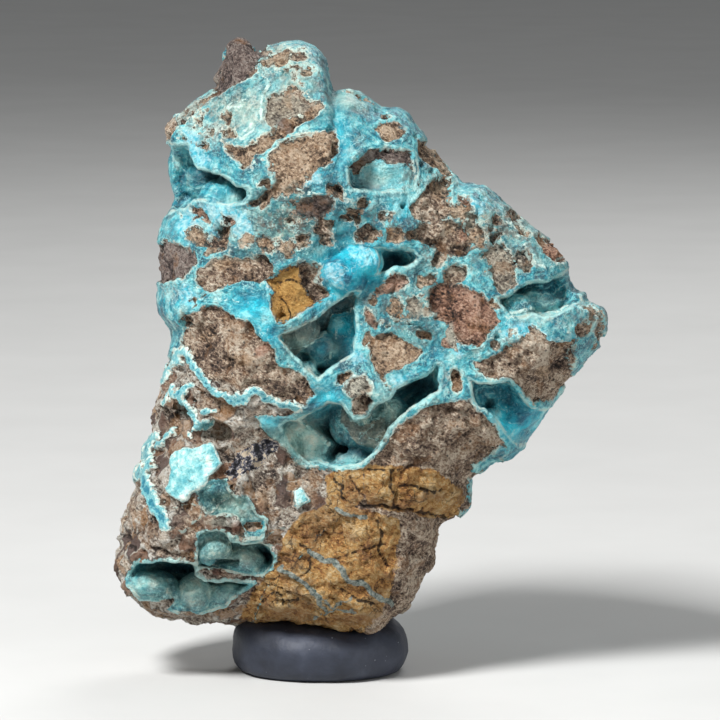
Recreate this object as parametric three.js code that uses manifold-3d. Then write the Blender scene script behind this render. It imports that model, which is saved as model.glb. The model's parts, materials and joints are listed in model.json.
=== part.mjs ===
// Raw smithsonite: a standing hand specimen, pressed into a soft foot of dark display putty.
// Millimetres, +Z up, front towards -Y, floor at z = 0 with the origin under the middle of the object.

import * as THREE from 'three';
import { mergeVertices } from 'three/addons/utils/BufferGeometryUtils.js';
import { ImprovedNoise } from 'three/addons/math/ImprovedNoise.js';
import Module from 'manifold-3d';

const wasm = await Module();
wasm.setup();

// Driving dimensions of the stone
const FRONT_DEPTH = 22;
const BACK_DEPTH = 21;
const MIDDLE_BACK = 1.1;
const LOOK_DOWN = THREE.MathUtils.degToRad(8);
const STONE_BOXINESS = 2.9;
const STONE_DETAIL = 13;

// Driving dimensions of the hollows and of the round growths
const HOLLOW_UNDER_FACE = 1.5;
const HOLLOW_OUT_OF_FACE = 16;
const HOLLOW_BOXINESS = 2.4;
const HOLLOW_STRAIGHTNESS = 0.3;
const HOLLOW_DETAIL = 3;
const BALL_DETAIL = 2;

// Driving dimensions of the putty foot. Its profile runs from the middle of its base to the middle
// of its top, as a share of the half width and a height.
const FOOT_WIDTH = 35.4;
const FOOT_DEPTH = 33;
const FOOT_ACROSS = -7.7;
const FOOT_BACK = 1.0;
const FOOT_SIDES = 40;
const FOOT_PROFILE = [
  [0, 0], [0.42, 0], [0.8, 0], [0.92, 0.7], [0.985, 2.6], [1, 5.4], [0.985, 7.6], [0.93, 9.5],
  [0.8, 10.8], [0.55, 11.6], [0.28, 11.9], [0, 12],
];
const FOOT_SWELL = { share: 0.07, size: 11, rise: 14, seed: 3.7 };
const FOOT_TILT = 0.12;
const GAP_GROWTH = 1.03;
const GAP_MIDDLE = { up: 24, back: -2 };

// Vertices closer than this are one vertex.
const MERGE_DISTANCE = 1e-4;

// Uneven lumps: how high and how wide, on the faces and round the rim.
const THUMB_LUMPS = { height: 2.6, size: 13 };
const PEA_LUMPS = { height: 1.0, size: 5.5 };
const RIM_LUMPS = { height: 3, size: 24 };
const FRONT_SEED = 0.5;
const BACK_SEED = 20.5;
const PEA_SEED = 7.3;
const RIM_SEED = 4.1;

// Every outline is drawn from the front, at real size, as seen when looking down by LOOK_DOWN:
// across from the middle, and up from the floor.
const STONE_OUTLINE = [
  [-24.9, 127.3], [-23.2, 127.0], [-21.6, 125.9], [-20.4, 124.0], [-19.4, 125.1], [-17.6, 125.1],
  [-14.4, 126.1], [-12.2, 126.3], [-9.4, 125.1], [-7.8, 123.7], [-6.6, 119.5], [-6.7, 116.9],
  [-5.4, 115.7], [-3.2, 116.5], [-1.4, 116.3], [1.2, 114.9], [4.0, 112.8], [7.4, 112.9],
  [9.6, 111.7], [12.2, 107.9], [13.1, 105.7], [16.6, 101.7], [20.6, 97.6], [24.8, 97.1],
  [27.3, 95.1], [29.8, 92.5], [34.4, 88.7], [38.5, 85.3], [40.4, 83.8], [41.2, 81.1],
  [42.2, 76.7], [44.6, 75.7], [45.8, 73.5], [48.4, 72.9], [49.0, 71.7], [49.0, 68.9],
  [47.4, 65.7], [44.6, 62.5], [41.8, 59.4], [38.7, 55.1], [35.6, 50.3], [32.2, 45.3],
  [29.4, 42.8], [27.2, 43.2], [23.6, 40.1], [21.6, 38.6], [21.6, 33.5], [19.8, 31.7],
  [16.0, 30.5], [15.1, 25.5], [14.8, 21.7], [12.4, 18.9], [11.2, 16.6], [9.4, 12.7],
  [7.4, 11.3], [3.5, 7.9], [2.2, 7.3], [-4.2, 8.2], [-9.8, 9.9], [-20.4, 10.3],
  [-24.8, 10.0], [-32.6, 9.7], [-37.4, 10.7], [-41.6, 12.1], [-45.9, 15.5], [-47.8, 17.9],
  [-49.0, 20.7], [-49.0, 22.6], [-47.6, 25.0], [-48.0, 26.5], [-47.8, 29.9], [-46.6, 33.5],
  [-44.5, 37.3], [-44.8, 40.3], [-42.9, 42.7], [-42.9, 44.9], [-41.6, 47.0], [-41.4, 53.2],
  [-39.9, 55.7], [-39.4, 58.7], [-37.8, 62.9], [-37.2, 68.9], [-40.0, 72.3], [-39.8, 76.9],
  [-40.2, 83.7], [-39.7, 88.3], [-38.8, 90.9], [-36.6, 95.4], [-38.0, 100.7], [-36.8, 106.5],
  [-38.4, 106.7], [-38.8, 108.5], [-38.6, 109.5], [-35.2, 112.1], [-30.3, 115.4], [-28.6, 117.5],
  [-28.6, 119.5], [-27.1, 122.9], [-27.1, 125.7],
];
const STONE_MIDDLE = [-3.0, 67.7];

// Broad swellings (height above 0) and dips (below 0) of the front and of the back, each with its radius.
const FRONT_RELIEF = [
  { across: -24, up: 64, radius: 15, height: 3.0 },
  { across: -34, up: 30, radius: 15, height: 3.5 },
  { across: -12, up: 100, radius: 15, height: 2.0 },
  { across: -14, up: 120, radius: 14, height: -5.0 },
  { across: 14, up: 46, radius: 14, height: 4.0 },
  { across: 33, up: 62, radius: 13, height: 3.0 },
  { across: 20, up: 74, radius: 10, height: 1.5 },
  { across: 24, up: 90, radius: 14, height: -2.5 },
  { across: 0, up: 22, radius: 16, height: 1.0 },
  { across: -22, up: 22, radius: 9, height: -2.0 },
];
const BACK_RELIEF = [
  { across: -20, up: 92, radius: 18, height: 3.5 },
  { across: 18, up: 70, radius: 16, height: -5.0 },
  { across: -18, up: 48, radius: 15, height: -4.0 },
  { across: -6, up: 26, radius: 16, height: 3.0 },
  { across: 30, up: 66, radius: 10, height: 4.0 },
  { across: 2, up: 104, radius: 12, height: -3.0 },
];

// How far the rim between front and back stands forward (below 0) or back, foot first.
const RIM_RELIEF = [
  { across: -4, up: 8, radius: 20, height: -5.5 },
  { across: -42, up: 22, radius: 16, height: -2.0 },
  { across: -26, up: 120, radius: 16, height: 2.0 },
  { across: 44, up: 70, radius: 16, height: -2.5 },
  { across: -38, up: 98, radius: 11, height: 4.0 },
];

// Caves and bowls: the mouth's outline, a middle that sees all of it, how deep it goes,
// and how its floor drifts from the mouth.
const HOLLOWS = {
  leftUpperCave: {
    mouth: [
      [-41.0, 105.5], [-36.8, 106.1], [-33.8, 105.3], [-32.2, 101.7], [-29.2, 100.7], [-26.4, 99.5],
      [-23.8, 97.9], [-22.0, 96.7], [-23.2, 94.1], [-25.4, 93.5], [-28.4, 93.9], [-31.0, 94.7],
      [-33.0, 94.5], [-34.8, 93.1], [-38.8, 91.3], [-41.0, 91.7],
    ],
    middle: [-32, 98], depth: 15, drift: [1.5, 0],
  },
  holeByKnob: {
    mouth: [
      [2.8, 85.2], [8.6, 85.2], [10.8, 84.5], [11.8, 83.3], [11.0, 82.0], [9.6, 81.2],
      [6.9, 81.3], [6.2, 80.3], [3.0, 79.8], [3.6, 82.7],
    ],
    middle: [7, 82.8], depth: 12, drift: [-3, -1],
  },
  centralWindow: {
    mouth: [
      [-16.6, 67.3], [-9.2, 71.1], [-6.0, 73.7], [-2.2, 76.5], [-0.4, 76.9], [-0.8, 73.3],
      [-0.6, 68.9], [-0.8, 64.1], [-5.0, 61.3], [-8.4, 58.7], [-11.2, 60.7], [-14.4, 64.5],
    ],
    middle: [-6.5, 67.5], depth: 14, drift: [0.5, 0.5],
  },
  lowerWindow: {
    mouth: [
      [-12.6, 50.9], [-6.4, 54.5], [-3.6, 54.3], [-0.8, 50.9], [1.6, 51.3], [2.8, 53.9],
      [6.0, 55.3], [9.8, 55.0], [10.4, 52.9], [6.2, 48.9], [3.6, 44.9], [0.4, 41.7],
      [-4.4, 41.1], [-8.2, 42.5], [-10.6, 44.7],
    ],
    middle: [-1, 47.5], depth: 16, drift: [0.5, 0],
  },
  lowerWindowArm: {
    mouth: [
      [2.8, 53.9], [6.0, 55.3], [6.8, 57.1], [10.4, 58.7], [14.2, 60.3], [15.2, 61.9],
      [16.0, 61.9], [16.0, 56.5], [13.4, 54.5], [10.4, 52.9], [8.2, 50.9], [3.6, 50.5],
    ],
    middle: [9.8, 55.2], depth: 12, drift: [-1, 0],
  },
  rightCave: {
    mouth: [
      [27.1, 75.2], [30.0, 75.9], [31.8, 77.5], [35.2, 78.5], [37.3, 78.5], [41.2, 80.3],
      [43.6, 80.3], [43.6, 74.7], [41.9, 72.7], [37.0, 71.1], [32.8, 71.1], [29.4, 71.9],
    ],
    middle: [35, 75], depth: 10, drift: [-2, 0],
  },
  lowerRightCave: {
    mouth: [
      [21.8, 59.0], [24.0, 58.3], [29.8, 58.7], [32.0, 56.1], [35.6, 52.9], [39.6, 53.0],
      [37.4, 48.0], [34.0, 45.5], [31.0, 45.5], [29.0, 48.3], [24.6, 52.9], [22.6, 54.7],
    ],
    middle: [29.8, 54], depth: 9, drift: [-1, 1],
  },
  footCave: {
    mouth: [
      [-44.8, 22.3], [-38.4, 22.7], [-33.0, 22.1], [-31.1, 18.9], [-21.0, 18.3], [-25.8, 15.3],
      [-29.6, 12.9], [-35.0, 11.9], [-39.6, 14.5], [-44.0, 15.3], [-46.4, 18.9],
    ],
    middle: [-35.5, 17.5], depth: 12, drift: [1, 1],
  },
  footBowl: {
    mouth: [
      [-32.6, 27.9], [-30.6, 29.1], [-26.5, 28.1], [-25.8, 26.7], [-19.7, 26.5], [-16.6, 22.9],
      [-19.4, 19.2], [-25.8, 20.4], [-32.3, 21.1], [-33.0, 23.1],
    ],
    middle: [-25, 23.5], depth: 7, drift: [0, 0.5],
  },
  greenBowl: {
    mouth: [
      [-33.0, 36.3], [-29.8, 38.5], [-26.6, 38.9], [-26.2, 36.7], [-22.6, 35.5], [-20.4, 31.7],
      [-18.6, 30.9], [-18.6, 28.9], [-20.0, 27.3], [-22.4, 27.3], [-25.0, 31.3], [-29.8, 31.3],
    ],
    middle: [-25, 33.6], depth: 5, drift: [0, 0],
  },
  archedScoop: {
    mouth: [
      [-2.8, 101.1], [1.2, 104.3], [5.4, 104.9], [10.4, 104.0], [11.2, 100.3], [10.4, 95.7],
      [4.0, 95.9], [-2.2, 96.7],
    ],
    middle: [4.5, 100.2], depth: 6, drift: [0, 1.5],
  },
  tongueChannel: {
    mouth: [
      [-21.4, 51.1], [-17.0, 51.9], [-13.0, 51.1], [-9.8, 48.5], [-7.0, 46.0], [-10.6, 41.9],
      [-13.0, 43.7], [-16.2, 46.9],
    ],
    middle: [-13, 47.5], depth: 6, drift: [1.5, -0.5],
  },
  brownHollow: {
    mouth: [
      [-32.8, 48.7], [-31.0, 50.5], [-28.8, 51.1], [-26.4, 49.9], [-25.8, 47.5], [-27.6, 45.5],
      [-30.6, 45.3], [-32.4, 46.5],
    ],
    middle: [-29.4, 48.2], depth: 5, drift: [0, 0.5],
  },
};

// Round growths of the crust that stand in the caves: sunk is how far the middle lies behind the face.
const BALLS = [
  { across: -27.0, up: 93.0, sunk: 7.5, radius: [5.2, 5.0, 4.9] },
  { across: -1.9, up: 81.2, sunk: 4.2, radius: [5.6, 4.6, 4.5] },
  { across: -4.6, up: 76.6, sunk: 6.0, radius: [3.4, 3.8, 5.2] },
  { across: 2.4, up: 51.0, sunk: 11.0, radius: [6.2, 5.5, 5.4] },
  { across: -7.4, up: 65.5, sunk: 12.5, radius: [4.2, 3.6, 3.8] },
];

const noise = new ImprovedNoise();

// A point seen at (across, up) that lies back from the middle plane, in the object's own axes.
function place(across, up, back) {
  const y = back + MIDDLE_BACK;
  return new THREE.Vector3(across, y, (up - y * Math.sin(LOOK_DOWN)) / Math.cos(LOOK_DOWN));
}

// The distance from a middle to the last crossing of an outline in one direction.
function reach(outline, middle, angle) {
  const stepX = Math.cos(angle);
  const stepY = Math.sin(angle);
  let farthest = 0;
  outline.forEach((corner, index) => {
    const next = outline[(index + 1) % outline.length];
    const sideX = next[0] - corner[0];
    const sideY = next[1] - corner[1];
    const toX = corner[0] - middle[0];
    const toY = corner[1] - middle[1];
    const cross = stepX * sideY - stepY * sideX;
    const along = (toX * sideY - toY * sideX) / cross;
    const part = (toX * stepY - toY * stepX) / cross;
    if (part >= 0 && part <= 1 && along > farthest) farthest = along;
  });
  return farthest;
}

function sumOfRelief(relief, across, up) {
  return relief.reduce((sum, hill) => {
    const away = Math.hypot(across - hill.across, up - hill.up) / hill.radius;
    return sum + hill.height * Math.exp(-away * away);
  }, 0);
}

function lump({ height, size }, across, up, seed) {
  return height * noise.noise(across / size, up / size, seed);
}

function rimBack(across, up) {
  return sumOfRelief(RIM_RELIEF, across, up) + lump(RIM_LUMPS, across, up, RIM_SEED);
}

// Where the stone's front or back face lies, at a share (0 to 1) of its full thickness.
function faceBack(across, up, share, isFront) {
  const seed = isFront ? FRONT_SEED : BACK_SEED;
  const relief = sumOfRelief(isFront ? FRONT_RELIEF : BACK_RELIEF, across, up);
  const uneven = lump(THUMB_LUMPS, across, up, seed) + lump(PEA_LUMPS, across, up, seed + PEA_SEED);
  const thick = (isFront ? FRONT_DEPTH : BACK_DEPTH) + relief + uneven;
  return rimBack(across, up) + share * (isFront ? -thick : thick);
}

// The same, at a point given from the front.
function frontAt(across, up) {
  const angle = Math.atan2(up - STONE_MIDDLE[1], across - STONE_MIDDLE[0]);
  const away = Math.hypot(across - STONE_MIDDLE[0], up - STONE_MIDDLE[1]);
  const outwards = Math.min(away / reach(STONE_OUTLINE, STONE_MIDDLE, angle), 1);
  const share = Math.pow(1 - Math.pow(outwards, STONE_BOXINESS), 1 / STONE_BOXINESS);
  return faceBack(across, up, share, true);
}

// A closed ball of triangles, each vertex moved by shape(share across, share through, angle, isFront).
function moulded(detail, boxiness, shape) {
  const geometry = new THREE.IcosahedronGeometry(1, detail);
  geometry.deleteAttribute('normal');
  geometry.deleteAttribute('uv');
  const merged = mergeVertices(geometry, MERGE_DISTANCE);
  const position = merged.attributes.position;
  for (let index = 0; index < position.count; index += 1) {
    const x = position.getX(index);
    const y = position.getY(index);
    const z = position.getZ(index);
    const outwards = Math.pow(Math.hypot(x, z), 2 / boxiness);
    const through = Math.pow(Math.abs(y), 2 / boxiness);
    const point = shape(outwards, through, Math.atan2(z, x), y < 0);
    position.setXYZ(index, point.x, point.y, point.z);
  }
  return merged;
}

function stoneBody() {
  return moulded(STONE_DETAIL, STONE_BOXINESS, (outwards, through, angle, isFront) => {
    const far = outwards * reach(STONE_OUTLINE, STONE_MIDDLE, angle);
    const across = STONE_MIDDLE[0] + far * Math.cos(angle);
    const up = STONE_MIDDLE[1] + far * Math.sin(angle);
    return place(across, up, faceBack(across, up, through, isFront));
  });
}

// A cutter that is widest just under the face, runs straight out of it, and ends in a round floor.
function hollowCutter({ mouth, middle, depth, drift }) {
  const widest = frontAt(...middle) + HOLLOW_UNDER_FACE;
  return moulded(HOLLOW_DETAIL, HOLLOW_BOXINESS, (outwards, through, angle, isFront) => {
    const straightened = isFront ? Math.pow(outwards, HOLLOW_STRAIGHTNESS) : outwards;
    const far = Math.min(straightened, 1) * reach(mouth, middle, angle);
    const inwards = isFront ? -HOLLOW_OUT_OF_FACE * through : (depth - HOLLOW_UNDER_FACE) * through;
    const slide = Math.max(inwards, 0) / depth;
    const across = middle[0] + far * Math.cos(angle) + slide * drift[0];
    const up = middle[1] + far * Math.sin(angle) + slide * drift[1];
    return place(across, up, widest + inwards);
  });
}

function ballBody({ across, up, sunk, radius }) {
  const ball = new THREE.IcosahedronGeometry(1, BALL_DETAIL);
  ball.scale(...radius);
  const middle = place(across, up, frontAt(across, up) + sunk);
  ball.translate(middle.x, middle.y, middle.z);
  ball.deleteAttribute('normal');
  ball.deleteAttribute('uv');
  return mergeVertices(ball, MERGE_DISTANCE);
}

function toSolid(geometry) {
  return new wasm.Manifold(new wasm.Mesh({
    numProp: 3,
    vertProperties: new Float32Array(geometry.attributes.position.array),
    triVerts: new Uint32Array(geometry.index.array),
  }));
}

function toGeometry(solid) {
  const mesh = solid.getMesh();
  const geometry = new THREE.BufferGeometry();
  geometry.setAttribute('position', new THREE.BufferAttribute(mesh.vertProperties, 3));
  geometry.setIndex(new THREE.BufferAttribute(mesh.triVerts, 1));
  return geometry;
}

// The stone: one grown body, hollowed by its caves, with the round growths standing in them.
function makeStone() {
  let solid = toSolid(stoneBody());
  for (const hollow of Object.values(HOLLOWS)) solid = solid.subtract(toSolid(hollowCutter(hollow)));
  for (const ball of BALLS) solid = solid.add(toSolid(ballBody(ball)));
  return solid;
}

// The putty foot: a soft round blob, flat underneath, that takes the stone's underside.
function footBlob() {
  const half = FOOT_WIDTH / 2;
  const profile = FOOT_PROFILE.map(([share, height]) => new THREE.Vector2(share * half, height));
  const lathe = new THREE.LatheGeometry(profile, FOOT_SIDES);
  lathe.rotateX(Math.PI / 2);
  lathe.deleteAttribute('normal');
  lathe.deleteAttribute('uv');
  const blob = mergeVertices(lathe, MERGE_DISTANCE);
  const position = blob.attributes.position;
  for (let index = 0; index < position.count; index += 1) {
    const x = position.getX(index);
    const y = position.getY(index);
    const z = position.getZ(index);
    const { share, size, rise, seed } = FOOT_SWELL;
    const swell = 1 + share * noise.noise(x / size, y / size, z / rise + seed);
    const tall = 1 + FOOT_TILT * Math.tanh((y - x) / half);
    const back = y * swell * FOOT_DEPTH / FOOT_WIDTH;
    position.setXYZ(index, FOOT_ACROSS + x * swell, FOOT_BACK + back, z * tall);
  }
  return blob;
}

// The stone grown a little about a point inside its base, which leaves the gap in the foot.
function makeFoot(stone) {
  const grown = toGeometry(stone);
  const inside = place(FOOT_ACROSS, GAP_MIDDLE.up, GAP_MIDDLE.back);
  grown.translate(-inside.x, -inside.y, -inside.z);
  grown.scale(GAP_GROWTH, GAP_GROWTH, GAP_GROWTH);
  grown.translate(inside.x, inside.y, inside.z);
  return toSolid(footBlob()).subtract(toSolid(grown));
}

const stoneSolid = makeStone();
const footSolid = makeFoot(stoneSolid);

const stone = new THREE.Mesh(
  toGeometry(stoneSolid),
  new THREE.MeshStandardMaterial({ color: 0x3fa3b5, roughness: 0.45, metalness: 0 }),
);
stone.name = 'smithsonite';

const foot = new THREE.Mesh(
  toGeometry(footSolid),
  new THREE.MeshStandardMaterial({ color: 0x323642, roughness: 0.6, metalness: 0 }),
);
foot.name = 'putty_foot';

const specimen = new THREE.Group();
specimen.add(stone, foot);

export default specimen;
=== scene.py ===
# %% [markdown]
# # Raw smithsonite on its putty foot
# A hand specimen of broken brown rock, healed together by a waxy blue zinc crust that also lines its
# open caves. The lesson builds the stone once as a closed body, cuts its caves, and then grows rock,
# crust and veins on it by moving vertices, because a natural surface has no flat parts to start from.

# %% Load the frame
import json
import math
from itertools import product

import bmesh
import bpy
import numpy as np
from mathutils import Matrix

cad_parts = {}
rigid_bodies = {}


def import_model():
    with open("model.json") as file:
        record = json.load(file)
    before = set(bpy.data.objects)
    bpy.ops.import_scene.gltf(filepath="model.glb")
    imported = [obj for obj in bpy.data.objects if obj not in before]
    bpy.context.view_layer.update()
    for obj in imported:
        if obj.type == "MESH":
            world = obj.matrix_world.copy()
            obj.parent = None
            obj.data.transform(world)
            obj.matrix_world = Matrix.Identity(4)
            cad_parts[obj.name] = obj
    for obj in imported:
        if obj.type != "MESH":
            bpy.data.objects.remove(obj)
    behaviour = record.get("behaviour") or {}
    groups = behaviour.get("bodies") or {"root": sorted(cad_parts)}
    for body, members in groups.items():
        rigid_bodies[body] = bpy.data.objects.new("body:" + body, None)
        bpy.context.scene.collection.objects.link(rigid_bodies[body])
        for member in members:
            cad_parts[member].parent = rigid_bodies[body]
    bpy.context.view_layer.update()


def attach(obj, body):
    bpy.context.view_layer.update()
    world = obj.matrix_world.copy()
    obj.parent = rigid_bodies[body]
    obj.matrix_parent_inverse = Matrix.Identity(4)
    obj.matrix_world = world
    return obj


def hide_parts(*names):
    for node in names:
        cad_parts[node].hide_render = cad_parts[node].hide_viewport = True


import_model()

MM = 0.001

# %% [markdown]
# ## The camera first
# The fragments, caves and veins are drawn on the stone where the photograph shows them, so the camera
# comes before the stone. It stands a metre away with a long lens and looks down a little. Two helpers
# go between a pixel of the 720 by 720 photograph and a point of the object in millimetres.

# %% Camera
PHOTO_PX = 720
PIXEL_MM = 0.2
LOOK_DOWN = math.radians(8)
CAMERA_AWAY = 1000.0
FLOOR_ROW = 673.4
SENSOR_MM = 36.0

TO_RIGHT = np.array([1.0, 0.0, 0.0])
TO_TOP = np.array([0.0, math.sin(LOOK_DOWN), math.cos(LOOK_DOWN)])
TO_CAMERA = np.array([0.0, -math.cos(LOOK_DOWN), math.sin(LOOK_DOWN)])
HALF_PHOTO = PHOTO_PX / 2
LOOKED_AT = np.array([0.0, 0.0, (FLOOR_ROW - HALF_PHOTO) * PIXEL_MM / math.cos(LOOK_DOWN)])
EYE = LOOKED_AT + TO_CAMERA * CAMERA_AWAY


def seen(points):
    """The photograph's columns and rows of points given in millimetres."""
    away = (EYE - points) @ TO_CAMERA
    column = HALF_PHOTO + (points - EYE) @ TO_RIGHT / away * CAMERA_AWAY / PIXEL_MM
    row = HALF_PHOTO - (points - EYE) @ TO_TOP / away * CAMERA_AWAY / PIXEL_MM
    return column, row


def place(column, row, back):
    """The points in millimetres that are seen at columns and rows and lie at y = back."""
    column, row, back = np.broadcast_arrays(*(np.asarray(v, float) for v in (column, row, back)))
    ray = ((column - HALF_PHOTO) * PIXEL_MM)[..., None] * TO_RIGHT
    ray = ray + ((HALF_PHOTO - row) * PIXEL_MM)[..., None] * TO_TOP - CAMERA_AWAY * TO_CAMERA
    return EYE + ray * ((back - EYE[1]) / ray[..., 1])[..., None]


camera_data = bpy.data.cameras.new("camera")
camera_data.sensor_width = SENSOR_MM
camera_data.lens = SENSOR_MM * CAMERA_AWAY / (PHOTO_PX * PIXEL_MM)
camera_data.clip_start = 0.01
camera = bpy.data.objects.new("camera", camera_data)
camera.location = EYE * MM
camera.rotation_euler = (math.pi / 2 - LOOK_DOWN, 0, 0)
bpy.context.scene.collection.objects.link(camera)
bpy.context.scene.camera = camera
print("camera lens", round(camera_data.lens), "mm, from", (EYE * MM).round(3))

# %% [markdown]
# ## Natural irregularity
# Rock needs noise at many sizes. A lattice of seeded random directions gives smooth lumps, and a
# lattice of jittered points gives cells: round growths of crust, and broken grains.

# %% Noise helpers
random_table = np.random.default_rng(20)
DIRECTIONS = random_table.normal(size=(256, 3))
DIRECTIONS /= np.linalg.norm(DIRECTIONS, axis=1)[:, None]
JITTER = random_table.random((256, 3))
LUCK = random_table.random(256)
CORNERS = [np.array(corner) for corner in product((0, 1), repeat=3)]
NEIGHBOURS = [np.array(step) for step in product((-1, 0, 1), repeat=3)]


def lattice_index(cell):
    """A repeatable number from 0 to 255 for each lattice cell."""
    mixed = cell[:, 0] * 73856093 ^ cell[:, 1] * 19349663 ^ cell[:, 2] * 83492791
    return (mixed ^ (mixed >> 9)) & 255


def lumps(points, size, seed=0.0):
    """Smooth noise from about -1 to 1, with lumps of the given size in millimetres."""
    spot = points / size + seed * 13.7
    cell = np.floor(spot).astype(np.int64)
    inside = spot - cell
    eased = inside ** 3 * (inside * (inside * 6 - 15) + 10)
    total = np.zeros(len(points))
    for corner in CORNERS:
        slope = (DIRECTIONS[lattice_index(cell + corner)] * (inside - corner)).sum(axis=1)
        total += slope * np.where(corner, eased, 1 - eased).prod(axis=1)
    return total * 1.7


def rough(points, size, octaves, seed=0.0):
    """Lumps with finer lumps on them, each octave half as large and half as high."""
    return sum(lumps(points, size / 2 ** n, seed + n) / 2 ** n for n in range(octaves))


def cells(points, size, seed=0.0):
    """Distances to the two nearest jittered points, in cell sizes, and the nearest one's number."""
    spot = points / size + seed * 9.1
    cell = np.floor(spot).astype(np.int64)
    nearest = np.full(len(points), 9.0)
    second = np.full(len(points), 9.0)
    owner = np.zeros(len(points), np.int64)
    for step in NEIGHBOURS:
        number = lattice_index(cell + step)
        away = np.linalg.norm(cell + step + JITTER[number] - spot, axis=1)
        closer = away < nearest
        second = np.where(closer, nearest, np.minimum(second, away))
        nearest = np.where(closer, away, nearest)
        owner = np.where(closer, number, owner)
    return nearest, second, owner


def pushed(points, amount, size, seed, seed_step=1):
    """Points pushed about by lumps."""
    push = [lumps(points, size, seed + seed_step * axis) for axis in range(3)]
    return points + amount * np.stack(push, axis=1)


def facets(points, size, seed=0.0):
    """Broken faces: each cell of the lattice is a plane with its own tilt. From about -0.5 to 0.5."""
    nearest, second, owner = cells(points, size, seed)
    tilt = DIRECTIONS[owner]
    spot = points / size + seed * 9.1
    plane = (spot * tilt).sum(axis=1)
    wave = np.abs((plane * 0.5 + LUCK[owner]) % 1 * 2 - 1) - 0.5
    return wave * ease(0.0, 0.12, second - nearest)


def ease(low, high, value):
    """0 below low, 1 above high, and a smooth step between."""
    share = np.clip((value - low) / (high - low), 0, 1)
    return share * share * (3 - 2 * share)


# %% [markdown]
# ## The stone's outline and relief
# The real stone is a broken slab, seen nearly flat on. Its outline is drawn once round the photograph,
# and broad hills and dips, read from how its faces catch the light, give the front its relief. Each
# hill is a column, a row, a radius in pixels and a height in millimetres.

# %% Outline and relief
STONE_OUTLINE = [
    (235.5, 37), (244, 38.5), (252, 44), (258, 53.5), (263, 48), (272, 48), (288, 43), (299, 42),
    (313, 48), (321, 55), (327, 76), (326.5, 89), (333, 95), (344, 91), (353, 92), (366, 99),
    (380, 109.5), (397, 109), (408, 115), (412, 121), (421, 134), (425.5, 145), (443, 165), (451, 175),
    (463, 185.5), (468.5, 185.5), (484, 188), (496.5, 198), (509, 211), (519.5, 220), (532, 230),
    (540, 235), (552.5, 247), (562, 254.5), (566, 268), (567.5, 279.5), (571, 290), (583, 295),
    (589, 306), (602, 309), (605, 315), (605, 329), (597, 345), (583, 361), (569, 376.5), (553.5, 398),
    (548.5, 407), (538, 422), (530, 433), (521, 447), (507, 459.5), (496, 457.5), (487, 464), (478, 473),
    (468, 480.5), (468, 506), (459, 515), (447, 521), (440, 521), (435.5, 546), (434, 565), (422, 579),
    (416, 590.5), (407, 610), (397, 617), (385, 624), (377.5, 634), (371, 637), (339, 632.5), (311, 624),
    (258, 622), (236, 623.5), (219, 623), (197, 625), (173, 620), (152, 613), (139, 605), (130.5, 596),
    (121, 584), (115, 570), (115, 560.5), (122, 548.5), (120, 540.5), (121, 524), (127, 506),
    (137.5, 487), (136, 472), (145.5, 460), (145.5, 449), (152, 438.5), (151, 426), (153, 407.5),
    (160.5, 395), (163, 380), (171, 359), (173.5, 341), (174, 329), (167, 322), (160, 312), (159, 302),
    (161, 289), (160, 272), (159, 255), (161.5, 232), (166, 219), (173, 210), (177, 196.5), (173, 183),
    (170, 170), (172, 154), (176, 141), (168, 140), (166, 131), (167, 126), (184, 113), (199, 102),
    (208.5, 96.5), (217, 86), (217, 76), (224.5, 59), (224.5, 45),
]
STONE_MIDDLE = (345, 335)
FRONT_DEPTH = 22.0
BACK_DEPTH = 21.0
MIDDLE_BACK = 1.1
BOXINESS = 2.9
BODY_SUBDIVISIONS = 7

FRONT_RELIEF = [
    (240, 355, 75, 3.0), (190, 523, 75, 3.5), (300, 170, 75, 2.0), (290, 75, 70, -5.0),
    (430, 440, 70, 4.0), (525, 362, 65, 3.0), (460, 303, 50, 1.5), (480, 225, 70, -2.5),
    (360, 563, 80, 1.0), (250, 563, 45, -2.0), (318, 447, 26, -5.5), (300, 290, 30, 1.2),
    (235, 150, 40, 1.5), (440, 500, 45, 2.0), (395, 205, 40, -1.5), (200, 260, 40, 1.5),
    (470, 330, 40, 1.0), (400, 290, 24, -1.2), (295, 225, 34, -1.6), (351, 268, 34, -3.0),
]
BACK_RELIEF = [
    (260, 210, 90, 3.5), (450, 320, 80, -5.0), (270, 430, 75, -4.0), (330, 540, 80, 3.0),
    (510, 340, 50, 4.0), (370, 150, 60, -3.0), (300, 320, 30, 2.5), (400, 480, 40, -2.0),
]
RIM_RELIEF = [
    (340, 630, 100, -5.5), (150, 560, 80, -2.0), (230, 75, 80, 2.0), (580, 320, 80, -2.5),
    (170, 180, 55, 4.0),
]


def hills(relief, column, row):
    """The summed height of round hills."""
    return sum(
        height * np.exp(-((column - x) ** 2 + (row - y) ** 2) / radius ** 2)
        for x, y, radius, height in relief
    )


def reach(outline, middle, angle):
    """How far an outline lies from its middle, in each direction, in pixels."""
    corner = np.array(outline, float) - middle
    side = np.roll(corner, -1, axis=0) - corner
    step_x, step_y = np.cos(angle)[:, None], np.sin(angle)[:, None]
    cross = step_x * side[:, 1] - step_y * side[:, 0]
    cross = np.where(np.abs(cross) < 1e-9, 1e-9, cross)
    along = (corner[:, 0] * side[:, 1] - corner[:, 1] * side[:, 0]) / cross
    part = (corner[:, 0] * step_y - corner[:, 1] * step_x) / cross
    return np.where((part >= -1e-6) & (part <= 1 + 1e-6) & (along > 0), along, 0).max(axis=1)


def flat_lumps(column, row, size_px, seed):
    """Noise over the face, at one size in pixels."""
    return lumps(np.stack([column, row, np.full_like(column, seed)], axis=1), size_px, seed)


def rim_back(column, row):
    """How far back the edge between front and back lies."""
    return MIDDLE_BACK + hills(RIM_RELIEF, column, row) + 3 * flat_lumps(column, row, 120, 4.0)


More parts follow.
